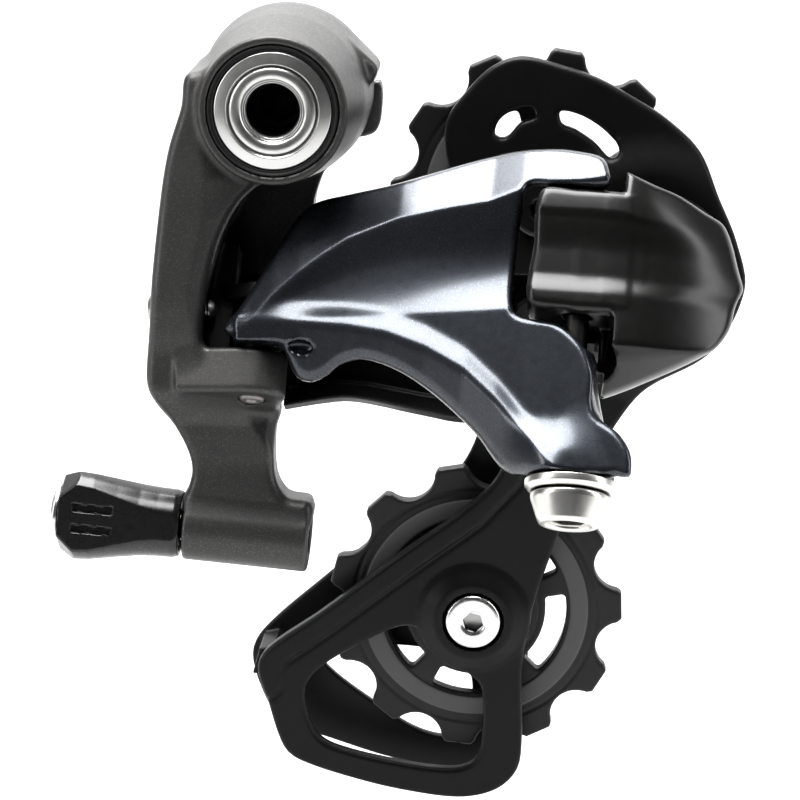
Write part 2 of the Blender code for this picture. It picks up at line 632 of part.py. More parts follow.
# =====================================================================
# Lower link pins and cable clamp
# =====================================================================
turned("link_pin_outer_lower",
       [(0, -13.0), (PIN_R, -13.0), (PIN_R, 24.8), (1.6, 25.3), (0, 25.3)],
       OUTER_LOWER_AT, PIN_DIR, 16, STEEL)
link_pin("link_pin_inner_lower", INNER_LOWER_AT, -4.9, 11.7)
turned("cable_clamp_washer",
       [(2.65, -24.3), (6.2, -24.3), (6.7, -23.8), (6.7, -22.7), (2.65, -22.7)],
       CLAMP_AT, PIN_DIR, 28, SILVER)
turned("cable_clamp_bolt", [
    (0, -16.4), (2.0, -16.4), (2.4, -16.9), (2.4, -24.6), (5.7, -24.6), (5.7, -25.2),
    (4.3, -28.8), (3.9, -29.1), (2.6, -29.1), (2.6, -26.2), (0, -25.6)],
    CLAMP_AT, PIN_DIR, 24, SILVER)

# =====================================================================
# Lower body, which carries the cage pivot
# =====================================================================
# Outlines in a, h of the forward and rear parts
NOSE_FORE = [
    (44.5, 19.8), (47.5, 20.0), (47.7, 24.1), (51.9, 22.5), (55.6, 21.7), (59.6, 20.1),
    (62.7, 18.9), (65.1, 12.4), (66.2, 8.1), (64.9, 4.6), (64.1, 0.7), (61.6, -2.7),
    (50.6, -9.0), (45.4, -11.4), (46.6, -3.5), (46.6, 2.2), (44.5, 3)]
NOSE_REAR = [(35.6, 20.0), (41.1, 20.4), (50, 20.4), (50, 2.0), (46.0, 1.9), (40.4, 2.0),
             (34.9, 3.0), (35.0, 12)]


def nose_outer(a, h):
    b = -12.4 + 0.012 * np.maximum(0, a - 44) ** 2 + 0.16 * np.maximum(0, a - 50)
    return (b + 1.45 * np.maximum(0, -3.0 - h + 0.02 * (a - 47))
            + 0.35 * np.maximum(0, h - (21 - 0.75 * np.maximum(0, a - 50))))


cage_knuckle = relief("cage_knuckle", LINK_SIDE, spline(NOSE_FORE, 2.6, sharp=(1, 2, 13)),
                      nose_outer, const(9.0), 3.6, 1.0)
nose_rear = relief("nose_rear", LINK_SIDE, spline(NOSE_REAR, 2.6, sharp=(2, 3)),
                   nose_outer, const(-3.0), 3.6, 1.0)
housing = lathe("housing", [
    (0, -17.0), (12.0, -17.0), (HOUSING_R, -15.0), (HOUSING_R, -1.4), (13.5, -0.9),
    (0, -0.9)], PIVOT, Y, 36)
outer_block = prism(hull(circle(OUTER_LOWER, 4.3, 20) + [(51, -9), (51, -3)]),
                    PIN_PLAN, 2.0, 20.4)
inner_block = prism(hull(circle(INNER_LOWER, 4.2, 20) + [(50, -3), (50, 9)]),
                    PIN_PLAN, 0.1, 7.9)
lug_start, lug_end = math.radians(224), math.radians(236.6)
stop_lug = prism([polar(CAGE_PIVOT, r, t) for r, t in (
    (11, lug_start), (18.6, lug_start), (18.8, (lug_start + lug_end) / 2), (18.6, lug_end),
    (11, lug_end))], SIDE, -5.5, -1.0)
join(cage_knuckle, nose_rear, housing, outer_block, inner_block, stop_lug)
cut(cage_knuckle,
    lathe("spring_recess", [(0, -13.6), (9.8, -13.6), (9.8, 5), (0, 5)], PIVOT, Y, 30),
    rod(PIVOT, Y, -21.5, 5, 4.05, 24),      # axle bore
    rod(OUTER_LOWER_AT, PIN_DIR, 0, 40, LOOSE_HOLE_R, 16),
    rod(INNER_LOWER_AT, PIN_DIR, -6, 9, LOOSE_HOLE_R, 16),
    # room for the links' bosses
    rod(OUTER_LOWER_AT, PIN_DIR, -22, 1.2, 6.1, 24),
    rod(INNER_LOWER_AT, PIN_DIR, -12, -0.3, 4.7, 20),
    rod(INNER_LOWER_AT, PIN_DIR, 8.3, 16, 4.7, 20))
finish(cage_knuckle, GLOSS, OUTER_LOWER_AT)

# =====================================================================
# Cage plates
# =====================================================================
# Outlines in X, Z
OUTER_PLATE = [
    (70.9, -32), (69.5, -24.5), (66.5, -17.4), (63.5, -10.5), (58.3, -5.5), (53.8, -2.6),
    (47.5, 0.8), (41.9, 2.7), (35.5, 4.1), (31, 2.5), (27.1, -1.3), (23.9, -6.2), (24.2, -13),
    (30, -24), (34.5, -38), (35.2, -52), (32.8, -62.9), (27.2, -69.1), (17.5, -76.4),
    (3.4, -87.5), (-5, -93.7), (-6.8, -97), (-5.3, -102.8), (-2.7, -111), (0, -113.4),
    (10.2, -116.7), (19.4, -118.6), (27.2, -119.2), (32.8, -117.6), (36.1, -114),
    (36.8, -108.7), (36.7, -96.6), (37.8, -88), (40.7, -78.1), (44.8, -67), (50.9, -55.2),
    (56, -48.5), (66, -42)]
OUTER_WINDOW = [
    (19.3, -89.6), (16, -89.7), (7.2, -94.4), (2.7, -97.8), (0.9, -101), (1.3, -105),
    (3.2, -109.2), (7, -111.2), (16.4, -113.3), (25.5, -114.2), (28.9, -112.8),
    (30.1, -109.5), (30, -99.8), (27.3, -97), (23, -94)]
REAR_SLOT = [(31.5, -8.2), (32.2, -5.8), (34.2, -4.4), (37.3, -3.8), (37.9, -5.2),
             (35.5, -6.2), (33.2, -8.6)]
FORE_SLOT = [(41.7, -4.3), (45.5, -5.2), (49.2, -7.6), (50.9, -10.4), (49.6, -11.6),
             (47, -9.2), (44, -7.2), (41.9, -6.3)]
INNER_PLATE = [
    (38.8, -10.3), (45, -12.8), (48.2, -20), (46, -32), (45.5, -50), (43, -68), (39.4, -82),
    (37.6, -94), (36.8, -108), (34, -115.5), (27, -118.3), (16, -117.2), (4, -113.6),
    (-4, -110.6), (-6.9, -106.5), (-9, -98.8), (-7, -94.4), (3.3, -84.9), (14, -75.8),
    (25.5, -65.9), (29.6, -56), (30.6, -40), (29.6, -24), (31.5, -13.5)]
INNER_WINDOW = [(3.6, -100.6), (11.1, -106.6), (19, -111.6), (25, -112.4), (27.6, -108),
                (27.5, -101), (22, -97.5), (14, -96.6), (7, -96.8), (3.4, -98.4)]
BRIDGE = [(-8.0, -99.2), (-5.6, -99.2), (-4.2, -94.2), (-6.8, -94.8)]


def outer_plate_outer(x, z):
    """The plate is offset outboard round the cage pivot."""
    distance = np.hypot(x - CAGE_PIVOT[0], z - CAGE_PIVOT[1])
    return 2.4 - 1.9 * (1 - ramp(distance, 15, 22))


outer_plate = relief(
    "cage_outer_plate", SIDE, spline(OUTER_PLATE, 4.5), outer_plate_outer,
    lambda x, z: outer_plate_outer(x, z) + 2.4, 7.0, 1.0, rings=(0.6,),
    holes=[spline(OUTER_WINDOW, 4.0)[::-1], spline(REAR_SLOT, 2.5)[::-1],
           spline(FORE_SLOT, 2.5)[::-1]])
join(outer_plate, lathe("boss", [
    (0, 0.6), (6.2, 0.6), (6.6, 0.9), (8.8, 2.6), (8.8, 3.4), (0, 3.4)], TENSION_AT, Y, 28))
cut(outer_plate,
    rod(TENSION_AT, Y, -5, 2.55, 4.95, 24),
    rod(TENSION_AT, Y, -5.5, 8.5, 2.6, 18),
    rod(GUIDE_AT, Y, -5, 2.2, 4.95, 20),
    rod(GUIDE_AT, Y, -5, 8, 2.6, 16),
    rod(PIVOT, Y, -5, 8, 4.05, 24),
    rod(STOP_PIN_AT, Y, -5, 8, 1.6, 12))
finish(outer_plate, SATIN, PIVOT)

inner_plate = relief("cage_inner_plate", SIDE, spline(INNER_PLATE, 5.0), const(13.4),
                     const(15.2), 6.0, 0.0, 0.7, holes=[spline(INNER_WINDOW, 4.0)[::-1]])
join(inner_plate, prism(BRIDGE, SIDE, 5.1, 14.2))
cut(inner_plate,
    rod(TENSION_AT, Y, -5, 20, 2.55, 16),
    rod(GUIDE_AT, Y, -5, 20, 2.55, 16))
finish(inner_plate, SATIN, PIVOT)


# =====================================================================
# Pulleys
# =====================================================================
def pulley(name, axis_place, turn):
    """A toothed wheel with five curved windows and a hub."""
    pitch_r = CHAIN_PITCH / 2 / math.sin(math.pi / PULLEY_TEETH)
    reach = math.pi * 0.36      # half of each roller seat's arc
    outline = []
    for k in range(PULLEY_TEETH):
        middle = turn + 2 * math.pi * k / PULLEY_TEETH
        roller = polar((0, 0), pitch_r, middle)
        for j in range(7):
            outline.append(polar(roller, ROLLER_R, middle + math.pi - reach * (j / 3 - 1)))
        for sign in (-1, 1):
            tip = middle + math.pi / PULLEY_TEETH + sign * 2.15 / PULLEY_TIP_R
            outline.append(polar((0, 0), PULLEY_TIP_R, tip))
    outline = [(axis_place[0] + x, axis_place[1] + z) for x, z in outline]
    holes = []
    for k in range(5):
        low = turn + 2 * math.pi * k / 5 + 0.14
        high = turn + 2 * math.pi * (k + 1) / 5 - 0.14
        arc = [(15.0, t) for t in np.linspace(low, high, 7)]
        arc += [(11.6, t) for t in np.linspace(high - 0.04, low + 0.04, 6)]
        holes.append([polar(axis_place, r, t) for r, t in arc][::-1])
    holes.append(circle(axis_place, 4.6, 16)[::-1])
    wheel = relief(name, SIDE, outline, const(PULLEY_Y - 1.25), const(PULLEY_Y + 1.25),
                   9.0, 0.0, 0.0, holes=holes)
    centre = (axis_place[0], PULLEY_Y, axis_place[1])
    join(wheel, lathe("hub", [(4.05, -2.5), (8.6, -2.5), (9.2, -1.9), (9.2, 1.9), (8.6, 2.5),
                              (4.05, 2.5)], centre, Y, 20))
    finish(wheel, PULLEY, centre, smooth=30)


pulley("guide_pulley", GUIDE, math.radians(97))
pulley("tension_pulley", TENSION, math.radians(18))

# Bolt head Y values: socket floor's centre and edge, end face, chamfer, seat
for name, place, floor, floor_edge, face, chamfer, seat in (
        ("guide_pulley", GUIDE_AT, 1.6, 1.4, 0.4, 0.9, 1.9),
        ("tension_pulley", TENSION_AT, 1.9, 1.6, 0.2, 0.8, 2.3)):
    turned(name + "_bush", [(2.6, 5.0), (3.85, 5.0), (3.85, 13.1), (2.6, 13.1)],
           place, Y, 18, STEEL)
    turned(name + "_cap_outer", [(4.0, 5.1), (7.0, 5.1), (7.4, 5.5), (7.4, 6.1), (4.0, 6.1)],
           place, Y, 20, PLATE)
    turned(name + "_cap_inner",
           [(4.0, 11.9), (7.4, 11.9), (7.4, 12.6), (7.0, 13.1), (4.0, 13.1)],
           place, Y, 20, PLATE)
    turned(name + "_bolt", [
        (0, floor), (1.7, floor_edge), (1.7, face), (3.9, face), (4.5, chamfer), (4.5, seat),
        (2.4, seat), (2.4, 15.0), (1.9, 15.4), (0, 15.4)], place, Y, 24, SILVER)

# =====================================================================
# Cage pivot
# =====================================================================
turned("cage_axle", [(0, -21.0), (3.4, -21.0), (3.9, -20.5), (3.9, 3.3), (6.4, 3.3),
                     (6.4, 4.5), (0, 4.5)], PIVOT, Y, 24, STEEL)
spring("cage_spring", PIVOT, Y, 7.2, 0.9, -12.2, -1.4, 4.5)
turned("cage_seal", [(10.4, -0.6), (11.8, -0.6), (11.8, 0.2), (10.4, 0.2)],
       PIVOT, Y, 30, RUBBER)
stop_pin = lathe("cage_stop_pin", [(0, -5.3), (1.1, -5.3), (1.45, -4.9), (1.45, 3.4), (0, 3.4)],
                 STOP_PIN_AT, Y, 12)
finish(stop_pin, STEEL, PIVOT)
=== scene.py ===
"""Looks of the rear derailleur: fine cast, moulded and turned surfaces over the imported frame.

Lengths in the modelling code are drawing units of 0.9 mm, with their zero on the hanger bolt's
axis in the hanger face. Cast and moulded pieces are built as distance fields (outlines, faces,
fillets) and meshed; turned pieces are profiles turned round their axis.
"""
import json
import math
import bpy
import bmesh
import numpy as np
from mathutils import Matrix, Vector

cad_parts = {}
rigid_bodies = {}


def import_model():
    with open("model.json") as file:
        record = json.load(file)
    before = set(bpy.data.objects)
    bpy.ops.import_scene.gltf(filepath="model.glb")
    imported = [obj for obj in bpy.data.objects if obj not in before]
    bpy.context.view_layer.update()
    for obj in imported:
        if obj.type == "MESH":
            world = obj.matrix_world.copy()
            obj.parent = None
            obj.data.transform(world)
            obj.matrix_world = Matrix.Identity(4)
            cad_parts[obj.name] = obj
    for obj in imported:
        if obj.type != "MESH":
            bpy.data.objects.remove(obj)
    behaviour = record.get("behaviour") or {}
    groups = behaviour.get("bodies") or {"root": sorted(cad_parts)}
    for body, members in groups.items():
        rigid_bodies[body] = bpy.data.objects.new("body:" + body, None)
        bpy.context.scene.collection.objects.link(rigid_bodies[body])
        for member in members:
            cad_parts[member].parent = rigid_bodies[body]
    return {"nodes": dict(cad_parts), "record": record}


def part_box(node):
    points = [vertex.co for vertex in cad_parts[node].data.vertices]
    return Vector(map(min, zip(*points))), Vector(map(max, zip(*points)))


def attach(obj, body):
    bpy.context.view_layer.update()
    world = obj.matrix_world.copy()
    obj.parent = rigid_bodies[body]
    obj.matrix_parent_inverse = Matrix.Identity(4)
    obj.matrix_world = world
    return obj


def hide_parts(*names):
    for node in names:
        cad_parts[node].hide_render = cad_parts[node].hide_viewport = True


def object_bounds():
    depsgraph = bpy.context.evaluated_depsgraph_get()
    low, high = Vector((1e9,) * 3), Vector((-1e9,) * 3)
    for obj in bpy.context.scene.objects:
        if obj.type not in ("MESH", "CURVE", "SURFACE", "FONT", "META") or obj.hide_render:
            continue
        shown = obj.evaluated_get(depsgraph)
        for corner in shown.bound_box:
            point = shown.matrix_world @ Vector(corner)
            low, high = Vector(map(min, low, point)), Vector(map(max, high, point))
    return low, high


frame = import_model()
cad_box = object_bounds()
FINE = 0.34
UNIT = 0.0009
BOLT_END = Vector((0, 9.0, 0))


def metres(p):
    return (Vector(p) - BOLT_END) * UNIT


# ---------------------------------------------------------------- frames
SLANT = math.radians(30.0)
PIN = np.array([0.048, math.sin(SLANT), math.cos(SLANT)])
PIN /= np.linalg.norm(PIN)
E1 = np.array([1.0, 0, 0]) - PIN * PIN[0]
E1 /= np.linalg.norm(E1)
E2 = -np.cross(E1, PIN)
E2 = E2 if E2[1] > 0 else -E2
LINK_O = np.array([3.0, -26.0, -33.0])
A1, B1 = (-6.0, 4.0), (42.0, -9.8)
A2, B2 = (-9.0, 16.0), (39.0, 2.2)
PIVOT = np.array([56.0, 0, -29.0])
GUIDE, TENSION = np.array([38.8, 0, -19.5]), np.array([28.7, 0, -87.7])
PULLEY_Y = 9.0
ADJ_DIR = np.array([math.cos(math.radians(5)), 0, -math.sin(math.radians(5))])
ADJ_O = np.array([-14.6, -22.0, -64.9])
YD = np.array([0, 1.0, 0])
XD = np.array([1.0, 0, 0])


def side(P):
    return P[:, 0], P[:, 2], P[:, 1]


def link(P):
    q = P - LINK_O
    return q @ E1, q @ PIN, q @ E2


def from_link(a, b, h):
    return LINK_O + a * E1 + b * E2 + h * PIN


# ---------------------------------------------------------------- 2-D outlines
def circle(c, r, n, start=0.0):
    return [(c[0] + r * math.cos(start + 2 * math.pi * k / n), c[1] + r * math.sin(start + 2 * math.pi * k / n)) for k in range(n)]


def hull(points):
    pts = sorted(set((round(x, 4), round(y, 4)) for x, y in points))

    def half(seq):
        out = []
        for q in seq:
            while len(out) > 1 and (out[-1][0] - out[-2][0]) * (q[1] - out[-2][1]) - (out[-1][1] - out[-2][1]) * (q[0] - out[-2][0]) <= 0:
                out.pop()
            out.append(q)
        return out
    return half(pts)[:-1] + half(pts[::-1])[:-1]


def spline(points, step=0.7, sharp=()):
    P = [np.array(q, float) for q in points]
    n, out = len(P), []
    for i in range(n):
        p0, p1, p2, p3 = P[i - 1], P[i], P[(i + 1) % n], P[(i + 2) % n]
        m1 = np.zeros(2) if i in sharp else (p2 - p0) / (np.linalg.norm(p2 - p1) + np.linalg.norm(p1 - p0)) * np.linalg.norm(p2 - p1)
        m2 = np.zeros(2) if (i + 1) % n in sharp else (p3 - p1) / (np.linalg.norm(p3 - p2) + np.linalg.norm(p2 - p1)) * np.linalg.norm(p2 - p1)
        count = max(1, int(round(np.linalg.norm(p2 - p1) / step)))
        for k in range(count):
            t = k / count
            out.append((2 * t**3 - 3 * t**2 + 1) * p1 + (t**3 - 2 * t**2 + t) * m1 + (-2 * t**3 + 3 * t**2) * p2 + (t**3 - t**2) * m2)
    return [tuple(q) for q in out]


def poly_distance(u, v, loop):
    """Signed distance to a closed outline, negative inside."""
    best = np.full(len(u), 1e9)
    hit = np.zeros(len(u), bool)
    L = np.array(loop, float)
    for s, e in zip(L, np.roll(L, -1, axis=0)):
        dx, dy = e - s
        qx, qy = u - s[0], v - s[1]
        t = np.clip((qx * dx + qy * dy) / max(dx * dx + dy * dy, 1e-12), 0, 1)
        best = np.minimum(best, (qx - t * dx) ** 2 + (qy - t * dy) ** 2)
        if abs(dy) > 1e-12:
            hit ^= ((s[1] > v) != (e[1] > v)) & (u < dx * (v - s[1]) / dy + s[0])
    d = np.sqrt(best)
    return np.where(hit, -d, d)


class Table:
    """Functions of two coordinates kept on one fine lattice and read back between its points."""

    def __init__(self, lo, hi, step, fns, blur=()):
        self.lo, self.step = np.array(lo, float), step
        nx, ny = (np.ceil((np.array(hi) - self.lo) / step).astype(int) + 2)
        u, v = np.meshgrid(self.lo[0] + step * np.arange(nx), self.lo[1] + step * np.arange(ny), indexing="ij")
        self.n = (nx, ny)
        cols = []
        for k, fn in enumerate(fns):
            val = np.broadcast_to(fn(u.ravel(), v.ravel()), (nx * ny,)).reshape(nx, ny).astype(float)
            for _ in range(blur[k] if k < len(blur) else 0):
                p = np.pad(val, 1, mode="edge")
                val = (p[:-2, 1:-1] + p[2:, 1:-1] + p[1:-1, :-2] + p[1:-1, 2:] + 4 * p[1:-1, 1:-1]) / 8
            cols.append(val)
        for k in range(1, len(fns)):
            gx, gy = np.gradient(cols[k], step)
            cols.append(1 / np.sqrt(1 + gx * gx + gy * gy))
        self.v = np.stack(cols, -1).astype(np.float32)

    def __call__(self, u, v):
        x = np.clip((u - self.lo[0]) / self.step, 0, self.n[0] - 1.001)
        y = np.clip((v - self.lo[1]) / self.step, 0, self.n[1] - 1.001)
        i, j = x.astype(np.int32), y.astype(np.int32)
        fx, fy = (x - i)[:, None], (y - j)[:, None]
        V = self.v
        out = (V[i, j] * (1 - fx) + V[i + 1, j] * fx) * (1 - fy) + (V[i, j + 1] * (1 - fx) + V[i + 1, j + 1] * fx) * fy
        return out.T


class Plate:
    """A drawn outline between a front face and a back face, as a distance field with rounded edges."""

    def __init__(self, loop, front, back, holes=(), step=0.22, pad=4.0, blur=6):
        L = np.array(loop)
        lo, hi = L.min(0) - pad, L.max(0) + pad

        def outline(u, v):
            d = poly_distance(u, v, loop)
            for h in holes:
                d = np.maximum(d, -poly_distance(u, v, h))
            return d
        self.t = Table(lo, hi, step, [outline, front, back], (0, blur, blur))

    def __call__(self, u, v, w, rf, rb):
        d, f, b, fs, bs = self.t(u, v)
        return rmax(rmax(d, (f - w) * fs, rf), (w - b) * bs, rb)


def rmax(a, b, r):
    return np.minimum(np.maximum(a, b), -r) + np.hypot(np.maximum(a + r, 0), np.maximum(b + r, 0))


def rmin(a, b, r):
    return np.maximum(np.minimum(a, b), r) - np.hypot(np.maximum(r - a, 0), np.maximum(r - b, 0))


def rcut(a, b, r=0.25):
    return rmax(a, -b, r)


def rod(P, p0, axis, r, t0, t1, edge=0.2):
    q = P - p0
    t = q @ axis
    rad = np.sqrt(np.maximum((q * q).sum(1) - t * t, 0))
    return rmax(rad - r, np.abs(t - (t0 + t1) / 2) - abs(t1 - t0) / 2, edge)


def turned_field(P, p0, axis, profile):
    q = P - p0
    t = q @ axis
    rad = np.sqrt(np.maximum((q * q).sum(1) - t * t, 0))
    return poly_distance(rad, t, profile)


def slab(d2, w, lo, hi, edge):
    return rmax(d2, np.abs(w - (lo + hi) / 2) - (hi - lo) / 2, edge)


def const(c):
    return lambda u, v: np.full(len(u), float(c))


def ramp(x, x0, x1):
    t = np.clip((x - x0) / (x1 - x0), 0, 1)
    return t * t * (3 - 2 * t)


def box_of(node, pad=1.2):
    lo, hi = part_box(node)
    end = np.array(BOLT_END)
    return np.array(lo) / UNIT + end - pad, np.array(hi) / UNIT + end + pad


# ---------------------------------------------------------------- meshing
CORNERS = np.array([(i, j, k) for i in (0, 1) for j in (0, 1) for k in (0, 1)])
EDGES = [(a, b) for a in range(8) for b in range(a + 1, 8) if np.abs(CORNERS[a] - CORNERS[b]).sum() == 1]


def mesh_field(name, field, lo, hi, step):
    B = 6
    n = np.ceil((hi - lo) / (step * B)).astype(int)
    centres = np.stack(np.meshgrid(*[lo[k] + step * (B * (np.arange(n[k]) + 0.5) - 0.5) for k in range(3)], indexing="ij"), -1).reshape(-1, 3)
    coarse = field(centres)
    near = np.abs(coarse) < step * B * 0.87 * 1.6 + 0.3
    F = np.empty((n[0] * n[1] * n[2], B, B, B), np.float32)
    F[:] = coarse[:, None, None, None]
    off = (np.stack(np.meshgrid(*[np.arange(B)] * 3, indexing="ij"), -1).reshape(-1, 3) - (B - 1) / 2) * step
    ids = np.nonzero(near)[0]
    for part in np.array_split(ids, max(1, len(ids) * B**3 // 400000)):
        pts = (centres[part][:, None, :] + off[None]).reshape(-1, 3)
        F[part] = field(pts).reshape(-1, B, B, B)
    F = F.reshape(n[0], n[1], n[2], B, B, B).transpose(0, 3, 1, 4, 2, 5).reshape(n[0] * B, n[1] * B, n[2] * B)
    F[0], F[-1], F[:, 0], F[:, -1], F[:, :, 0], F[:, :, -1] = (np.maximum(F[0], 1e-3), np.maximum(F[-1], 1e-3), np.maximum(F[:, 0], 1e-3),
                                                             np.maximum(F[:, -1], 1e-3), np.maximum(F[:, :, 0], 1e-3), np.maximum(F[:, :, -1], 1e-3))
    S = F < 0
    total = sum(S[i:S.shape[0] - 1 + i, j:S.shape[1] - 1 + j, k:S.shape[2] - 1 + k].astype(np.int8) for i, j, k in CORNERS)
    active = (total > 0) & (total < 8)
    idx = np.argwhere(active)
    vid = np.full(active.shape, -1, np.int64)
    vid[active] = np.arange(len(idx))
    V = np.stack([F[tuple((idx + c).T)] for c in CORNERS], 1)
    pos, cnt = np.zeros((len(idx), 3)), np.zeros(len(idx))
    for a, b in EDGES:
        va, vb = V[:, a], V[:, b]
        cross = (va < 0) != (vb < 0)
        t = np.where(cross, va / np.where(cross, va - vb, 1), 0)
        pos += np.where(cross[:, None], CORNERS[a] + t[:, None] * (CORNERS[b] - CORNERS[a]), 0)
        cnt += cross
    pts = lo + step * (idx + pos / cnt[:, None])
    base = pts.copy()
    for _ in range(2):
        f0 = field(pts)
        g = np.stack([(field(pts + e) - f0) / 0.02 for e in np.eye(3) * 0.02], 1)
        pts = pts - g * np.clip(f0 / np.maximum((g * g).sum(1), 0.15), -0.5 * step, 0.5 * step)[:, None]
        pts = base + np.clip(pts - base, -0.6 * step, 0.6 * step)
    quads = []
    for ax in range(3):
        A, Bc = np.take(S, range(S.shape[ax] - 1), ax), np.take(S, range(1, S.shape[ax]), ax)
        e = np.argwhere(A != Bc)
        o1, o2 = [k for k in range(3) if k != ax]
        e = e[(e[:, o1] > 0) & (e[:, o2] > 0) & (e[:, o1] < vid.shape[o1]) & (e[:, o2] < vid.shape[o2])]
        def cell(d1, d2):
            c = e.copy()
            c[:, o1] -= d1
            c[:, o2] -= d2
            return vid[tuple(c.T)]
        q = np.stack([cell(1, 1), cell(0, 1), cell(0, 0), cell(1, 0)], 1)
        flip = A[tuple(e.T)] if ax != 1 else ~A[tuple(e.T)]
        q[~flip] = q[~flip][:, ::-1]
        quads.append(q)
    quads = np.concatenate(quads)
    me = bpy.data.meshes.new(name)
    me.vertices.add(len(pts))
    me.vertices.foreach_set("co", ((pts - np.array(BOLT_END)) * UNIT).astype(np.float32).ravel())
    me.loops.add(quads.size)
    me.loops.foreach_set("vertex_index", quads.astype(np.int32).ravel())
    me.polygons.add(len(quads))
    me.polygons.foreach_set("loop_start", np.arange(0, quads.size, 4, dtype=np.int32))
    me.update(calc_edges=True)
    me.validate()
    me.shade_smooth()
    me.set_sharp_from_angle(angle=math.radians(50))
    o = bpy.data.objects.new(name, me)
    bpy.context.scene.collection.objects.link(o)
    return o


BODY_OF = {n: b for b, names in frame["record"]["behaviour"]["bodies"].items() for n in names}


def place(o, node, material):
    o.data.materials.clear()
    o.data.materials.append(material)
    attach(o, BODY_OF[node])
    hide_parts(node)
    return o


def cast(node, field, material, step=None, pad=1.2):
    lo, hi = box_of(node, pad)
    return place(mesh_field(node + "_fine", field, lo, hi, step or FINE), node, material)


def rounded(profile, r, closed):
    """A profile with each corner replaced by a short arc."""
    P = [np.array(q, float) for q in profile]
    n, out = len(P), []
    for i, p in enumerate(P):
        if not closed and i in (0, n - 1):
            out.append(p)
            continue
        a, b = P[i - 1] - p, P[(i + 1) % n] - p
        la, lb = np.linalg.norm(a), np.linalg.norm(b)
        c = np.dot(a, b) / (la * lb)
        if c < -0.985:
            out.append(p)
            continue
        cut = min(r, 0.42 * la, 0.42 * lb)
        s, e = p + a / la * cut, p + b / lb * cut
        for t in (0, 0.25, 0.5, 0.75, 1):
            out.append((1 - t) ** 2 * s + 2 * t * (1 - t) * p + t * t * e)
    return out


def turned(name, profile, origin, axis, n=72, r=0.25):
    axis = Vector(axis).normalized()
    sd = axis.orthogonal().normalized()
    up = axis.cross(sd)
    closed = all(q[0] > 1e-6 for q in profile)
    profile = rounded(profile, r, closed)
    bm = bmesh.new()
    rings = []
    for rad, t in profile:
        c = Vector(origin) + axis * float(t)
        if rad < 1e-6:
            rings.append([bm.verts.new(metres(c))])
        else:
            rings.append([bm.verts.new(metres(c + (sd * math.cos(2 * math.pi * k / n) + up * math.sin(2 * math.pi * k / n)) * float(rad))) for k in range(n)])
    for p, q in list(zip(rings, rings[1:])) + ([(rings[-1], rings[0])] if closed else []):
        for k in range(n):
            j = (k + 1) % n
            if len(p) == 1 and len(q) == 1:
                continue
            if len(p) == 1:
                bm.faces.new([p[0], q[k], q[j]])
            elif len(q) == 1:
                bm.faces.new([p[k], p[j], q[0]])
            else:
                bm.faces.new([p[k], p[j], q[j], q[k]])
    bmesh.ops.recalc_face_normals(bm, faces=bm.faces)
    if bm.calc_volume(signed=True) < 0:
        bmesh.ops.reverse_faces(bm, faces=bm.faces)
    return new_object(name, bm)


def new_object(name, bm, angle=38):
    me = bpy.data.meshes.new(name)
    bm.to_mesh(me)
    bm.free()
    me.shade_smooth()
    me.set_sharp_from_angle(angle=math.radians(angle))
    o = bpy.data.objects.new(name, me)
    bpy.context.scene.collection.objects.link(o)
    return o


def socket(o, origin, axis, across, t0, t1, cone=0.0, sides=6, turn=0.0, taper=1.0):
    """A hexagon recess cut from t0 to t1 along the axis, with a drilled point at its floor."""
    axis = Vector(axis).normalized()
    sd = axis.orthogonal().normalized()
    up = axis.cross(sd)
    r = across / math.sqrt(3) if sides == 6 else across / 2
    bm = bmesh.new()
    rings = []
    for rad, t in ((r * taper, t0), (r, t1)):
        rings.append([bm.verts.new(metres(Vector(origin) + axis * t + (sd * math.cos(turn + 2 * math.pi * k / sides) + up * math.sin(turn + 2 * math.pi * k / sides)) * rad)) for k in range(sides)])
    bm.faces.new(rings[0])
    tip = bm.verts.new(metres(Vector(origin) + axis * (t1 + cone)))
    for k in range(sides):
        bm.faces.new([rings[0][k], rings[0][(k + 1) % sides], rings[1][(k + 1) % sides], rings[1][k]])
        bm.faces.new([rings[1][k], rings[1][(k + 1) % sides], tip])
    bmesh.ops.recalc_face_normals(bm, faces=bm.faces)
    if bm.calc_volume(signed=True) < 0:
        bmesh.ops.reverse_faces(bm, faces=bm.faces)
    c = new_object("cutter", bm)
    m = o.modifiers.new("socket", "BOOLEAN")
    m.operation, m.solver, m.object = "DIFFERENCE", "EXACT", c
    me = bpy.data.meshes.new_from_object(o.evaluated_get(bpy.context.evaluated_depsgraph_get()))
    o.modifiers.clear()
    o.data = me
    bpy.data.objects.remove(c)
    me.shade_smooth()
    me.set_sharp_from_angle(angle=math.radians(38))
    return o


def spring(name, origin, axis, radius, wire, t0, t1, turns, steps=28, sides=10):
    axis = Vector(axis).normalized()
    sd = axis.orthogonal().normalized()
    up = axis.cross(sd)
    count = int(turns * steps) + 1
    bm = bmesh.new()
    rings = []
    for k in range(count):
        ang = 2 * math.pi * k / steps
        out = sd * math.cos(ang) + up * math.sin(ang)
        mid = Vector(origin) + axis * (t0 + (t1 - t0) * k / (count - 1)) + out * radius
        rings.append([bm.verts.new(metres(mid + out * wire * math.cos(2 * math.pi * s / sides) + axis * wire * math.sin(2 * math.pi * s / sides))) for s in range(sides)])
    bm.faces.new(rings[0])
    bm.faces.new(rings[-1])
    for p, q in zip(rings, rings[1:]):
        for s in range(sides):
            bm.faces.new([p[s], p[(s + 1) % sides], q[(s + 1) % sides], q[s]])
    bmesh.ops.recalc_face_normals(bm, faces=bm.faces)
    if bm.calc_volume(signed=True) < 0:
        bmesh.ops.reverse_faces(bm, faces=bm.faces)
    return new_object(name, bm, 60)

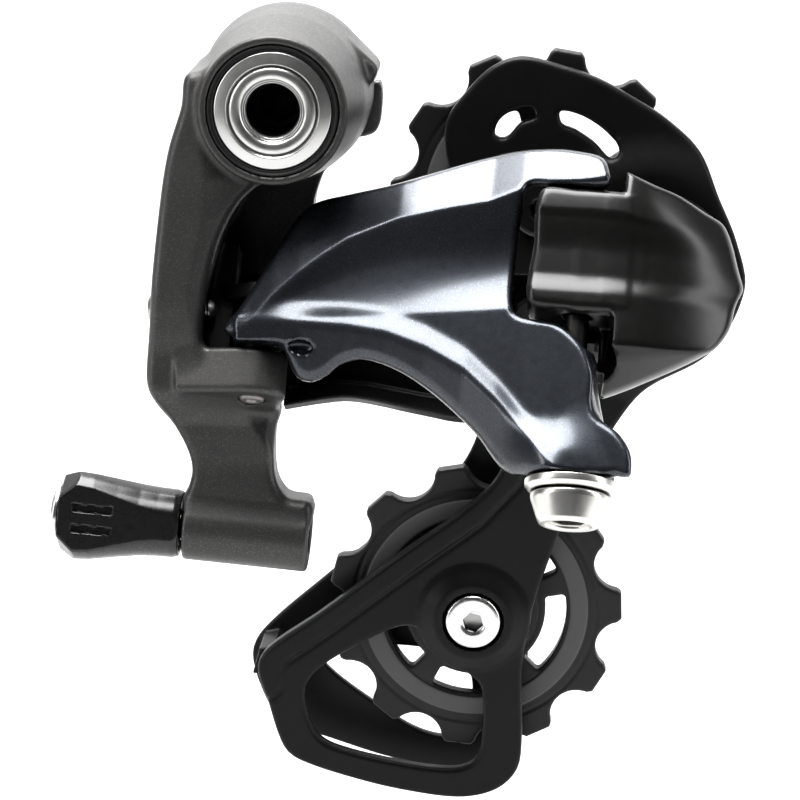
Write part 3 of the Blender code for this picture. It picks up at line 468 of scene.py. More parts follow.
# ---------------------------------------------------------------- materials
def node(nt, kind, **props):
    n = nt.nodes.new("ShaderNode" + kind)
    for k, v in props.items():
        if k in n.inputs:
            n.inputs[k].default_value = v
        else:
            setattr(n, k, v)
    return n


def math_node(nt, op, a, b=None, clamp=False):
    n = nt.nodes.new("ShaderNodeMath")
    n.operation = op
    n.use_clamp = clamp
    for k, v in enumerate((a, b)):
        if v is None:
            continue
        if isinstance(v, (int, float)):
            n.inputs[k].default_value = v
        else:
            nt.links.new(v, n.inputs[k])
    return n.outputs[0]


def blend_colour(nt, factor, a, b, kind="MIX"):
    n = nt.nodes.new("ShaderNodeMix")
    n.data_type = "RGBA"
    n.blend_type = kind
    for v, k in ((factor, 0), (a, 6), (b, 7)):
        if isinstance(v, (int, float)):
            n.inputs[k].default_value = v
        elif isinstance(v, tuple):
            n.inputs[k].default_value = (*v, 1)
        else:
            nt.links.new(v, n.inputs[k])
    return n.outputs[2]


def steps(nt, value, stops):
    n = nt.nodes.new("ShaderNodeValToRGB")
    r = n.color_ramp
    while len(r.elements) < len(stops):
        r.elements.new(0.5)
    for e, (p, v) in zip(r.elements, stops):
        e.position = p
        e.color = (v, v, v, 1)
    nt.links.new(value, n.inputs[0])
    return n.outputs[0]


def finish_material(name, base, rough, metal=0.0, grain=(0.25, 0.0), flakes=0.0, flake_size=0.16, flake_tint=(1, 1, 1), mottle=0.12, wear_and_edge_highlight=0.0, wear_and_edge_highlight_tint=(0.5, 0.5, 0.5),
                    coat=0.0, coat_rough=0.12, lathe=None, specular=0.5, band=None, recess=0.0, reach=0.008, recess_range=(0.25, 0.8)):
    """One surface: base colour with slow mottling, a fine grain in the relief, bright flakes, lighter convex edges that
    are edge wear plus a painted edge highlight, turning marks, and painted shade in recesses (ambient occlusion darkens
    colour, specular and coat).
    """
    m = bpy.data.materials.new(name)
    m.use_nodes = True
    nt = m.node_tree
    bsdf = nt.nodes["Principled BSDF"]
    pos = node(nt, "TexCoord").outputs["Object"]

    def noise(size_mm, detail=2.0, vector=pos):
        n = node(nt, "TexNoise", Scale=1000.0 / size_mm, Detail=detail, Roughness=0.55)
        nt.links.new(vector, n.inputs["Vector"])
        return n.outputs["Fac"]
    slow, mid, fine = noise(9.0, 3.0), noise(1.1, 2.0), noise(grain[0], 2.0)
    colour = blend_colour(nt, steps(nt, slow, [(0.3, 0.0), (0.7, 1.0)]), tuple(c * (1 - mottle) for c in base), tuple(min(1, c * (1 + mottle)) for c in base))
    colour = blend_colour(nt, math_node(nt, "MULTIPLY", steps(nt, fine, [(0.35, 0.0), (0.65, 1.0)]), 0.35), colour, tuple(c * 0.72 for c in base))
    rough_out = math_node(nt, "ADD", rough - 0.05, math_node(nt, "MULTIPLY", mid, 0.10))
    if flakes:
        cells = node(nt, "TexVoronoi", Scale=1000.0 / flake_size)
        nt.links.new(pos, cells.inputs["Vector"])
        pick = node(nt, "SeparateColor")
        nt.links.new(cells.outputs["Color"], pick.inputs[0])
        bright = steps(nt, pick.outputs[0], [(1 - flakes, 0.0), (1.0, 1.0)])
        colour = blend_colour(nt, math_node(nt, "MULTIPLY", bright, 0.85), colour, flake_tint)
        rough_out = math_node(nt, "SUBTRACT", rough_out, math_node(nt, "MULTIPLY", bright, 0.12))
    # lighter colour on sharp convex edges (pointiness): partly edge wear, partly a painted edge highlight
    if wear_and_edge_highlight:
        point = node(nt, "NewGeometry").outputs["Pointiness"]
        edge = steps(nt, math_node(nt, "ADD", point, math_node(nt, "MULTIPLY", math_node(nt, "SUBTRACT", mid, 0.5), 0.03)), [(0.53, 0.0), (0.60, 1.0)])
        colour = blend_colour(nt, math_node(nt, "MULTIPLY", edge, wear_and_edge_highlight), colour, wear_and_edge_highlight_tint)
    height = math_node(nt, "MULTIPLY", fine, grain[1])
    if band is not None:
        centre, lo, hi, tint = band
        off = node(nt, "VectorMath", operation="SUBTRACT")
        nt.links.new(pos, off.inputs[0])
        off.inputs[1].default_value = tuple(metres(centre))
        flat = node(nt, "VectorMath", operation="MULTIPLY")
        nt.links.new(off.outputs[0], flat.inputs[0])
        flat.inputs[1].default_value = (1, 0, 1)
        rad = node(nt, "VectorMath", operation="LENGTH")
        nt.links.new(flat.outputs[0], rad.inputs[0])
        mm = math_node(nt, "MULTIPLY", rad.outputs["Value"], 1 / UNIT)
        ring = math_node(nt, "MULTIPLY", math_node(nt, "GREATER_THAN", mm, lo), math_node(nt, "LESS_THAN", mm, hi))
        colour = blend_colour(nt, ring, colour, tint)
    if lathe is not None:
        centre, axis = lathe
        off = node(nt, "VectorMath", operation="SUBTRACT")
        nt.links.new(pos, off.inputs[0])
        off.inputs[1].default_value = tuple(metres(centre))
        cross = node(nt, "VectorMath", operation="CROSS_PRODUCT")
        nt.links.new(off.outputs[0], cross.inputs[0])
        cross.inputs[1].default_value = tuple(axis)
        rad = node(nt, "VectorMath", operation="LENGTH")
        nt.links.new(cross.outputs[0], rad.inputs[0])
        along = node(nt, "VectorMath", operation="DOT_PRODUCT")
        nt.links.new(off.outputs[0], along.inputs[0])
        along.inputs[1].default_value = tuple(axis)
        groove = node(nt, "TexNoise", Scale=1.0, Detail=3.0, noise_dimensions="1D")
        nt.links.new(math_node(nt, "MULTIPLY", math_node(nt, "ADD", rad.outputs["Value"], along.outputs["Value"]), 9000.0), groove.inputs["W"])
        height = math_node(nt, "ADD", height, math_node(nt, "MULTIPLY", groove.outputs["Fac"], 0.002))
        colour = blend_colour(nt, math_node(nt, "MULTIPLY", groove.outputs["Fac"], 0.16), colour, tuple(c * 0.6 for c in base))
    # painted shade: ambient occlusion darkens the base colour and cuts specular and coat in recesses, creases and
    # between parts
    if recess:
        ao = node(nt, "AmbientOcclusion", samples=6)
        ao.inputs["Distance"].default_value = reach
        shade = steps(nt, ao.outputs["AO"], [(recess_range[0], 1 - recess), (recess_range[1], 1.0)])
        colour = blend_colour(nt, 1.0, colour, shade, "MULTIPLY")
        nt.links.new(math_node(nt, "MULTIPLY", shade, specular), bsdf.inputs["Specular IOR Level"])
        if coat:
            nt.links.new(math_node(nt, "MULTIPLY", shade, coat), bsdf.inputs["Coat Weight"])
    bump = node(nt, "Bump", Strength=1.0, Distance=0.001)
    nt.links.new(height, bump.inputs["Height"])
    nt.links.new(colour, bsdf.inputs["Base Color"])
    nt.links.new(rough_out, bsdf.inputs["Roughness"])
    nt.links.new(bump.outputs[0], bsdf.inputs["Normal"])
    bsdf.inputs["Metallic"].default_value = metal
    if not recess:
        bsdf.inputs["Specular IOR Level"].default_value = specular
        bsdf.inputs["Coat Weight"].default_value = coat
    elif not coat:
        bsdf.inputs["Coat Weight"].default_value = 0.0
    bsdf.inputs["Coat Roughness"].default_value = coat_rough
    m.diffuse_color = (*base, 1)
    return m


# recess sets the strength of painted shade (ambient-occlusion darkening) in each finish; reach and recess_range set its
# spread
PAINT_WARM = finish_material("cast_metallic_paint", (0.038, 0.037, 0.036), 0.42, 0.5, grain=(0.20, 0.012), flakes=0.14, flake_size=0.10, flake_tint=(0.10, 0.098, 0.096), mottle=0.05, wear_and_edge_highlight=0.3, wear_and_edge_highlight_tint=(0.09, 0.088, 0.086), recess=0.95, reach=0.016, recess_range=(0.3, 0.85))
PAINT_BLUE = finish_material("blue_grey_metallic", (0.026, 0.030, 0.037), 0.29, 0.8, grain=(0.30, 0.003), flakes=0.10, flake_size=0.09, flake_tint=(0.060, 0.070, 0.088), mottle=0.12, wear_and_edge_highlight=0.12, wear_and_edge_highlight_tint=(0.085, 0.095, 0.11), coat=0.5, coat_rough=0.2, recess=0.9, reach=0.012)
BLACK_GLOSS = finish_material("gloss_black_paint", (0.004, 0.0037, 0.0035), 0.30, 0.2, grain=(0.35, 0.002), mottle=0.05, wear_and_edge_highlight=0.25, wear_and_edge_highlight_tint=(0.03, 0.029, 0.028), coat=0.22, coat_rough=0.24, specular=0.32, recess=0.95, reach=0.010)
BLACK_SATIN = finish_material("satin_black_coat", (0.005, 0.005, 0.0052), 0.38, 0.0, grain=(0.18, 0.006), mottle=0.1, wear_and_edge_highlight=0.35, wear_and_edge_highlight_tint=(0.035, 0.035, 0.035), specular=0.14, recess=0.6)
BLACK_LINK = finish_material("satin_black_link", (0.006, 0.0058, 0.0058), 0.40, 0.1, grain=(0.2, 0.006), mottle=0.1, wear_and_edge_highlight=0.4, wear_and_edge_highlight_tint=(0.03, 0.03, 0.03), specular=0.22, recess=1.0, reach=0.014, recess_range=(0.45, 0.95))
KNOB = finish_material("knob_moulding", (0.004, 0.004, 0.004), 0.28, 0.0, grain=(0.5, 0.003), mottle=0.05, wear_and_edge_highlight=0.3, wear_and_edge_highlight_tint=(0.03, 0.03, 0.03), coat=0.1, specular=0.4, recess=0.7, reach=0.004)


def pulley_material(name, c):
    return finish_material(name, (0.0085, 0.0085, 0.0088), 0.44, 0.0, grain=(0.3, 0.008), mottle=0.12, wear_and_edge_highlight=0.25, wear_and_edge_highlight_tint=(0.04, 0.04, 0.04), band=(tuple(c), 15.7, 18.6, (0.085, 0.085, 0.085)), specular=0.28, recess=0.5)


RUBBER = finish_material("seal_rubber", (0.004, 0.004, 0.004), 0.55, 0.0, grain=(0.15, 0.008), mottle=0.1, specular=0.3)
SPRING = finish_material("spring_wire", (0.32, 0.31, 0.30), 0.32, 1.0, grain=(0.2, 0.004), mottle=0.1, recess=0.9, reach=0.012)
DULL = finish_material("plated_steel", (0.15, 0.15, 0.148), 0.42, 0.95, grain=(0.2, 0.008), flakes=0.05, flake_tint=(0.3, 0.3, 0.3), mottle=0.08, wear_and_edge_highlight=0.3, wear_and_edge_highlight_tint=(0.35, 0.35, 0.35), recess=0.7)
# near-black material for the insides of holes: painted shade standing in for the shadow in the bore
SHADOW = finish_material("painted_socket_shade", (0.006, 0.006, 0.006), 0.35, 0.5, grain=(0.2, 0.003), mottle=0.1, specular=0.3)


# turned metal; recess and reach set its painted shade in recesses
def metal_for(name, centre, axis, base=(0.62, 0.62, 0.605), rough=0.3, recess=0.75, reach=0.004):
    return finish_material(name, base, rough, 1.0, grain=(0.12, 0.0008), mottle=0.02, lathe=(tuple(centre), tuple(axis)), wear_and_edge_highlight=0.2, wear_and_edge_highlight_tint=(0.8, 0.8, 0.78), recess=recess, reach=reach)


def darken_hole(o, origin, axis, radius, start):
    """Gives the faces inside a hole, beyond start along the axis, the near-black SHADOW material: painted shade for the
    hole's dark inside.
    """
    o.data.materials.append(SHADOW)
    q = Vector(origin)
    ax = Vector(axis)
    for p in o.data.polygons:
        v = p.center / UNIT + BOLT_END - q
        t = v.dot(ax)
        if t > start and (v - ax * t).length < radius and p.normal.dot(ax) < 0.9:
            p.material_index = 1

# ================================================================ upper body
ARM = [(-12.6, 5), (-13.9, -0.1), (-15.9, -6.3), (-17.2, -13), (-18.4, -23.5), (-19.1, -33), (-19.6, -41.0), (-18.3, -45.2),
       (-15.6, -49.2), (-13.8, -53), (-13.3, -56), (-14.2, -62), (-6, -65), (3, -65), (4.8, -60.6), (1.2, -59.6), (-0.5, -56.5),
       (-0.6, -50), (0.0, -46.5), (-1.5, -43), (-8, -41), (-10.5, -37), (-10.9, -32), (-9.8, -24.8), (-8.3, -19.5), (-5.5, -14.5), (0, -9), (1, 4)]


def arm_ridge(z):
    return np.interp(-z, [6, 10.5, 16.5, 21, 26.4, 29, 33.5, 38, 42], [-11.0, -10.3, -10.7, -11.7, -12.8, -12.9, -12.1, -9.5, -7])


def arm_front(x, z):
    base = -25.0 - 2.0 * ramp(-z, 12, 30) + 0.4 * ramp(-z, 0, -8)
    ridge = arm_ridge(z)
    on = 1 - ramp(-z, 36, 42)
    base = base + on * (0.10 * np.maximum(0, ridge - x) + 0.50 * np.maximum(0, x - ridge))
    low = ramp(-z, 42.3, 48.5)
    base = base + 2.5 * low - 0.6 * ramp(-z, 54, 62)
    crease = np.interp(-z, [43, 45.4, 48.7, 53.2, 58, 62], [-8.0, -5.7, -3.3, -0.3, 1.0, 1.0])
    return base + ramp(-z, 43.5, 46.5) * (1 - ramp(-z, 53, 58)) * 0.75 * np.maximum(0, x - crease)


def arm_back(x, z):
    return -8.0 - 4.0 * ramp(-z, 18, 33) - 6.8 * ramp(-z, 33, 41)


arm = Plate(spline(ARM), arm_front, arm_back, blur=5)
ear = Plate(spline([(4, 11), (8.6, 8.2), (12.4, 6.0), (14.2, 3.9), (13.4, 2.0), (9, 1.7), (4, -2), (0, 5)], sharp=(4,)), const(-10.5), const(-3.2))
web = Plate(spline([(10, -4), (8.7, -8.4), (6.1, -11.6), (4.4, -16), (3.6, -20.5), (0.8, -26), (-3, -28.8), (-12, -28.8), (-14, -8), (-6, 0)]), const(-8.2), const(-3.2))
foot = Plate(hull(circle(A1, 4.9, 48) + circle(A2, 4.9, 48) + [(-17.5, A1[1] - 2), (-17.5, A2[1] + 1)]), const(-10.0), const(-3.0))
top_ear = Plate(hull(circle(A2, 3.9, 40) + [(-17.5, A2[1] - 3), (-17.5, A2[1] + 1)]), const(12.0), const(15.4))
mid_ear = Plate(hull(circle(A1, 3.2, 40) + [(-13.2, 5.6), (-13.2, 8.8)]), const(5.2), const(7.7))
wall = Plate([(-17.05, 4.4), (-10.3, 5.0), (-10.4, 9.6), (-14.3, 10.9), (-14.2, 18.3), (-17.1, 18.6)], const(-8.7), const(14.6))
KNUCKLE = [(-2, -26.1), (10.5, -26.1), (10.95, -22.6), (12.1, -14), (12.7, -6), (12.7, -3.9), (12.1, -3.4), (-2, -3.4)]


def knuckle_field(P):
    x, z, y = side(P)
    a, h, b = link(P)
    f = poly_distance(np.hypot(x, z), y, KNUCKLE) - 0.5
    f = rmin(f, arm(x, z, y, 1.5, 1.0), 1.3)
    f = rmin(f, ear(x, z, y, 1.0, 0.4), 1.2)
    f = rmin(f, web(x, z, y, 0.3, 0.3), 0.8)
    f = rmin(f, foot(a, b, h, 1.0, 0.9), 1.3)
    f = rmin(f, top_ear(a, b, h, 0.5, 0.5), 0.8)
    f = rmin(f, mid_ear(a, b, h, 0.4, 0.4), 0.5)
    f = rmin(f, wall(a, b, h, 0.3, 0.3), 0.6)
    f = rmin(f, rod(P, ADJ_O, ADJ_DIR, 5.35, 0, 19.2, 0.55), 1.3)
    f = rcut(f, rod(P, 0 * YD, YD, 9.85, -60, -23.2, 0), 0.3)
    f = rcut(f, rod(P, 0 * YD, YD, 5.8, -60, 30, 0), 0.2)
    f = rcut(f, rod(P, 0 * YD, YD, 9.3, -14.2, 30, 0), 0.3)
    for c in (A1, A2):
        f = rcut(f, rod(P, from_link(c[0], c[1], 0), PIN, 2.05, -20, 20, 0), 0.2)
    f = rcut(f, rod(P, ADJ_O, ADJ_DIR, 2.7, -9, 40, 0), 0.35)
    for sy in (-21.5, -15.6):
        f = rcut(f, rod(P, np.array([0, sy, -31.0]), XD, 2.35, -40, -17.4, 0), 0.2)
        f = rcut(f, rod(P, np.array([0, sy, -31.0]), XD, 1.75, -40, -8, 0), 0.1)
    return f


cast("b_knuckle", knuckle_field, PAINT_WARM)

SILVER_Y = metal_for("turned_silver_hanger", (0, 0, 0), (0, 1, 0))
thread = [(5.45, 0.4)]
for k in range(7):
    thread += [(4.85, 0.95 + 1.1 * k), (5.45, 1.5 + 1.1 * k)]
bolt = turned("hanger_bolt_fine", [(0, 9.0), (4.85, 9.0)] + [(r, min(t, 8.6)) for r, t in thread[::-1]] + [
    (5.45, -23.4), (8.8, -23.4), (8.8, -26.0), (8.6, -26.25), (6.95, -26.8)] + [(5.55 + 0.98 * math.cos(u), -26.25 - 0.62 * math.sin(u)) for u in np.linspace(0.1, math.pi - 0.1, 15)] + [
    (4.45, -26.0), (4.15, -26.05), (3.9, -25.6), (3.75, -17.6), (0, -17.6)], (0, 0, 0), (0, 1, 0), 96, 0.12)
socket(bolt, (0, 0, 0), (0, 1, 0), 5.6, -18.4, -11.0, 1.2, turn=0.26)
place(bolt, "hanger_bolt", SILVER_Y)
# painted shade inside the hanger bolt's bore
darken_hole(bolt, (0, 0, 0), (0, 1, 0), 3.97, -25.3)
place(turned("knuckle_seal_fine", [(8.85, -26.35), (9.2, -26.15), (9.45, -26.5), (9.75, -26.3), (9.75, -23.6), (8.85, -23.6)], (0, 0, 0), (0, 1, 0), 96, 0.15), "knuckle_seal", RUBBER)

stop_outline = spline([(11, 0), (13.9, 0.9), (14.2, -3.5), (13.2, -7.0), (9.5, -8.2), (4, -11), (-4, -11.6), (-9, -14.2), (-13, -13), (-13.4, -8), (-11, -3), (-11, 3), (-7, 8.6), (0, 11), (7, 8.6)])
stop_plate = Plate(stop_outline, const(-2.5), const(0.0), holes=[circle((0, 0), 5.85, 60)])


def stop_field(P):
    x, z, y = side(P)
    f = stop_plate(x, z, y, 0.3, 0.15)
    f = rmin(f, slab(poly_distance(y, z, [(-2.4, -13.2), (5.8, -13.2), (5.8, -6.2), (-2.4, -6.2)]), x, -12.6, -9.2, 0.35), 0.5)
    return rcut(f, rod(P, np.array([0, 3.2, -9.7]), XD, 2.15, -30, 0, 0), 0.2)


cast("hanger_stop_plate", stop_field, DULL, 0.3)


def screw(node_name, origin, head, shank, length, slot_w, mat_):
    n = int((length - 2.2) / 0.7)
    prof = [(0, 0), (head - 0.45, 0), (head, 0.5), (head, 1.9), (shank, 1.9)]
    for k in range(n):
        prof += [(shank, 2.2 + 0.7 * k), (shank - 0.22, 2.55 + 0.7 * k)]
    prof += [(shank, length - 0.7), (shank - 0.55, length), (0, length)]
    s = turned(node_name + "_fine", prof, origin, (1, 0, 0), 40, 0.08)
    bm = bmesh.new()
    bmesh.ops.create_cube(bm, size=1.0)
    bmesh.ops.scale(bm, verts=bm.verts, vec=(2.4 * UNIT, slot_w * UNIT, head * 2.2 * UNIT))
    bmesh.ops.translate(bm, verts=bm.verts, vec=metres(Vector(origin) - Vector((0.5, 0, 0))))
    c = new_object("cutter", bm)
    m = s.modifiers.new("slot", "BOOLEAN")
    m.operation, m.solver, m.object = "DIFFERENCE", "EXACT", c
    me = bpy.data.meshes.new_from_object(s.evaluated_get(bpy.context.evaluated_depsgraph_get()))
    s.modifiers.clear()
    s.data = me
    bpy.data.objects.remove(c)
    me.shade_smooth()
    me.set_sharp_from_angle(angle=math.radians(38))
    return place(s, node_name, mat_)


STEEL_X = metal_for("steel_screws", (0, -18.5, -31), (1, 0, 0), (0.5, 0.5, 0.49), 0.33)
screw("hanger_tension_screw", (-16.4, 3.2, -9.7), 3.1, 1.9, 14.0, 0.9, STEEL_X)
screw("high_limit_screw", (-19.6, -21.5, -31), 2.15, 1.55, 10.0, 0.8, STEEL_X)
screw("low_limit_screw", (-19.6, -15.6, -31), 2.15, 1.55, 10.0, 0.8, STEEL_X)

PIN_STEEL = metal_for("pin_steel", from_link(A1[0], A1[1], 0), PIN, (0.5, 0.49, 0.475), 0.36)
# the lower link pins get a much darker copy of the pin steel: painted shade for the shadowed gaps they sit in
PIN_STEEL_SHADED = metal_for("pin_steel_painted_shade", from_link(B1[0], B1[1], 0), PIN, (0.03, 0.029, 0.028), 0.42, recess=1.0, reach=0.012)
PIN_PAINTED = finish_material("staked_pin_end", (0.2, 0.19, 0.185), 0.42, 0.9, grain=(0.25, 0.02), mottle=0.15, wear_and_edge_highlight=0.5, wear_and_edge_highlight_tint=(0.5, 0.5, 0.48))
for nm, c, top in (("link_pin_outer_upper", A1, 8.2), ("link_pin_inner_upper", A2, 15.7)):
    p = turned(nm + "_fine", [(0, -9.8), (0.7, -9.9), (0.95, -10.25), (1.25, -10.3), (1.6, -10.3), (1.95, -9.9), (1.95, top - 0.4), (1.6, top), (0, top)], from_link(c[0], c[1], 0), PIN, 48, 0.12)
    place(p, nm, PIN_PAINTED if c is A1 else PIN_STEEL)
place(turned("link_pin_outer_lower_fine", [(0, -13.0), (1.75, -13.0), (1.75, 22.2), (1.4, 22.6), (0, 22.6)], from_link(B1[0], B1[1], 0), PIN, 48, 0.12), "link_pin_outer_lower", PIN_STEEL_SHADED)
place(turned("link_pin_inner_lower_fine", [(0, -4.9), (1.6, -4.9), (1.95, -4.5), (1.95, 11.3), (1.6, 11.7), (0, 11.7)], from_link(B2[0], B2[1], 0), PIN, 48, 0.12), "link_pin_inner_lower", PIN_STEEL_SHADED)

place(spring("knuckle_spring_fine", (0, 0, 0), (0, 1, 0), 7.7, 0.72, -11.8, -3.7, 4.0), "knuckle_spring", SPRING)
place(spring("return_spring_fine", from_link(A1[0], A1[1], 0), PIN, 2.75, 0.38, 1.9, 4.5, 2.5), "return_spring", SPRING)
place(spring("adjuster_spring_fine", ADJ_O, ADJ_DIR, 3.4, 0.43, -7.6, -0.7, 4.5), "adjuster_spring", SPRING)
place(spring("cage_spring_fine", PIVOT, (0, 1, 0), 7.2, 0.87, -12.2, -1.4, 4.5), "cage_spring", SPRING)

# ================================================================ adjuster
KNOB_SHAPE = [(-1, -0.9), (4.75, -0.9), (5.0, -1.6), (5.05, -4.2), (5.3, -7.0), (5.9, -10.5), (6.65, -14.2), (6.85, -16.6), (6.5, -18.4), (6.0, -18.9), (-1, -18.9)]
side_v = YD - ADJ_DIR * (YD @ ADJ_DIR)
side_v /= np.linalg.norm(side_v)
up_v = np.cross(side_v, ADJ_DIR)
up_v = up_v if up_v[2] > 0 else -up_v


def knob_field(P):
    q = P - ADJ_O
    t = q @ ADJ_DIR
    s, u = q @ side_v, q @ up_v
    rad = np.hypot(s, u)
    f = poly_distance(rad, t, KNOB_SHAPE) - 0.3
    tilt = -0.14
    for k in range(3):
        ang = math.pi + 2 * math.pi / 3 * k + tilt
        d = s * math.cos(ang) + u * math.sin(ang)
        c = -s * math.sin(ang) + u * math.cos(ang)
        f = rmax(f, d - 4.95 + 0.01 * (t + 14), 0.15)
        for e in (-1.6, 1.6):
            groove = np.maximum(np.maximum(np.abs(c - e) - 0.62, np.abs(t + 13.9) - 3.1), 4.35 - d)
            f = rcut(f, groove, 0.15)
    for k in range(3):
        ang = 2 * math.pi / 3 * k + tilt
        d = s * math.cos(ang) + u * math.sin(ang)
        f = rmax(f, (d - 6.7 + (-t - 17.0) * 0.75) / 1.25, 0.2)
    f = rcut(f, rad - 2.75, 0.15)
    return rcut(f, np.maximum(rad - 4.25, -8.6 - t), 0.15)


cast("barrel_adjuster", knob_field, KNOB, 0.22)
ADJ_METAL = metal_for("adjuster_silver", ADJ_O, ADJ_DIR, (0.72, 0.72, 0.71), 0.24)
place(turned("adjuster_bolt_fine", [(1.2, -19.0), (2.45, -19.0)] + [q for k in range(11) for q in ((2.45, -0.6 + 0.85 * k), (2.15, -0.2 + 0.85 * k))] + [(2.45, 9.0), (2.0, 9.6), (1.2, 9.6)], ADJ_O, ADJ_DIR, 48, 0.08), "adjuster_bolt", ADJ_METAL)
ring = turned("adjuster_end_ring_fine", [(1.3, -20.6), (2.6, -20.6), (3.2, -20.5), (3.5, -20.2), (4.1, -20.1), (4.2, -19.9), (4.2, -19.4), (1.3, -19.4)], ADJ_O, ADJ_DIR, 64, 0.15)
place(ring, "adjuster_end_ring", ADJ_METAL)

# ================================================================ links
OUTER = [(-10.6, -0.9), (-8.6, 2.8), (-5.4, 9.1), (-2.2, 15.7), (0.6, 19.4), (7.3, 21.5), (14.1, 23.4), (20.5, 25.5), (29.1, 28.0), (36.6, 28.4), (41.2, 27.5),
         (43.9, 26.4), (45.0, 24.6), (45.1, 21.0), (37.1, 21.3), (33.6, 21.3), (32.8, 17), (32.3, 8), (32.6, 2.6), (34, 1.4), (38.6, 0.5), (41.0, -0.9), (43.4, -3.4), (44.9, -7.1), (45.4, -12.9),
         (49.3, -16.2), (51.1, -19.4), (50.9, -24.3), (50.0, -24.2), (49.4, -22.3), (45.2, -22.3), (37, -22.3), (33.2, -21.3), (28.5, -15.7), (22.5, -10.4), (16.5, -6.6), (11, -4.8), (7.6, -5.4), (5.6, -6.8), (3.4, -7.7), (1.6, -7.5), (0.2, -6.3), (-0.7, -4.6), (-2.0, -2.8)]


def ridge_high(a):
    return np.interp(a, [-11, -7, -3.6, 0, 3.5, 7.2, 14.6, 22, 28, 33, 46], [-4, -0.4, 4.0, 7.5, 10.3, 13.0, 16.2, 17.7, 18.6, 20.6, 22.5])


def ridge_low(a):
    return np.interp(a, [-11, -2, 8, 14, 20, 26, 31, 36, 39, 50], [0.2, -0.1, -0.8, -1.8, -4.0, -7.3, -11.8, -17.3, -21.0, -30])


def outer_front(a, h):
    base = -4.6 - 0.21 * a
    high, low = ridge_high(a), ridge_low(a)
    crease = 0.4 + 0.072 * np.clip(a, 0, 34)
    up = np.maximum(0, h - high)
    down = np.maximum(0, low - h)
    t = np.clip((h - crease) / np.maximum(high - crease, 0.5), 0, 1)
    hollow = (0.045 + 0.075 * ramp(a, 14, 32)) * np.maximum(high - crease, 0) * 4 * t * (1 - t) * (1.25 - 0.5 * t)
    base = base - 2.6 * ramp(-h, 13, 22.5) * np.exp(-((a - 38) / 5.0) ** 2)
    flank = 1.15 * (1 - 0.35 * ramp(a, 33, 40)) * ramp(h - low, 0, 4.4) * ramp(a, -8, 6) * (1 - ramp(t, 0.55, 1.0)) * (h < high)
    return base + (0.25 + 0.32 * ramp(a, 0, 16)) * up + 0.55 * down + flank + hollow * ramp(a, -8, 4)


outer_plate_ = Plate(spline(OUTER), outer_front, lambda a, h: np.maximum(outer_front(a, h), -4.6 - 0.21 * a + 0.2) + 2.0, blur=9)
shell_a = -4.0 + 0.666 + 1.6
shell_b = -4.0 - 0.222 * 42 + 1.8
root = Plate(hull(circle(A1, 3.5, 48) + [(-8.5, shell_a - 0.6), (0.5, shell_a - 1.8)]), const(-2.6), const(1.2))
low_ear = Plate(hull(circle(B1, 2.9, 40) + [(37.5, shell_b + 1.6), (42.5, shell_b + 1.2)]), const(-14.0), const(-3.6))
high_ear = Plate(hull(circle(B1, 2.7, 40) + [(37.0, shell_b + 2.2), (42.2, shell_b + 2.0)]), const(21.4), const(23.8))


def outer_field(P):
    a, h, b = link(P)
    f = outer_plate_(a, h, b, 1.1, 0.5)
    f = rmin(f, root(a, b, h, 0.5, 0.5), 1.0)
    front = outer_plate_.t(a, h)[1]
    f = rmin(f, rmax(low_ear(a, b, h, 0.4, 0.4), front + 0.5 - b, 0.3), 0.5)
    f = rmin(f, rmax(high_ear(a, b, h, 0.4, 0.4), front + 0.6 - b, 0.3), 0.4)
    swell = np.hypot(a - 42.8 - 0.10 * np.maximum(h + 22.3, 0), b + 9.3) - 6.3 + 0.36 * np.clip(h + 22.3, 0, 16)
    f = rmin(f, rmax(rmax(swell, front + 0.3 - b, 0.5), np.maximum(-22.3 - h, h + 5.0), 0.5), 1.5)
    f = rmax(f, -22.3 - h, 0.6)
    f = rcut(f, rod(P, from_link(A1[0], A1[1], 0), PIN, 2.1, -40, 30, 0), 0.15)
    for lo, hi in ((-13.2, -4.0), (20.5, 22.8)):
        f = rcut(f, np.maximum(rod(P, from_link(B1[0], B1[1], 0), PIN, 2.05, lo, hi, 0), -11.2 - b), 0.15)
    f = rcut(f, rod(P, from_link(42.8, -9.5, 0), PIN, 2.6, -60, -15.6, 0), 0.2)
    # shallow recess on the swelling beside the upper pin
    q = np.sqrt(((a - 1.4) / 2.1) ** 2 + ((h + 3.4) / 1.1) ** 2 + ((b + 3.1) / 1.2) ** 2)
    f = rcut(f, (q - 1) * 1.3, 0.15)
    # small hollow on the lip above the cable clamp
    q = np.sqrt(((a - 43.8) / 1.6) ** 2 + ((h + 21.4) / 0.8) ** 2 + ((b + 16.6) / 1.1) ** 2)
    return rcut(f, (q - 1) * 0.9, 0.3)


cast("outer_link", outer_field, PAINT_BLUE)

INNER = [(-9, -2.6), (-3.4, -2.6), (-2.5, -4.5), (-2.3, -8.4), (6.2, -7.2), (10.3, -7.5), (18.9, -9.4), (26.7, -10.7), (33, -9), (35.5, -4.6),
         (39, -4.6), (39, -0.4), (34.5, -0.4), (32.5, 1.4), (32.5, 6.6), (34.5, 8.4), (39, 8.4), (39, 11.4), (30, 12.0), (16, 11.8), (0, 11.6), (-9, 11.6)]
slope = (B2[1] - A2[1]) / (B2[0] - A2[0])


def inner_mid(a):
    return A2[1] + slope * (a - A2[0])


def inner_edge(a):
    return np.interp(a, [-4, 6, 11, 19, 27, 34], [-6.3, -4.9, -5.3, -7.0, -8.2, -6.6])


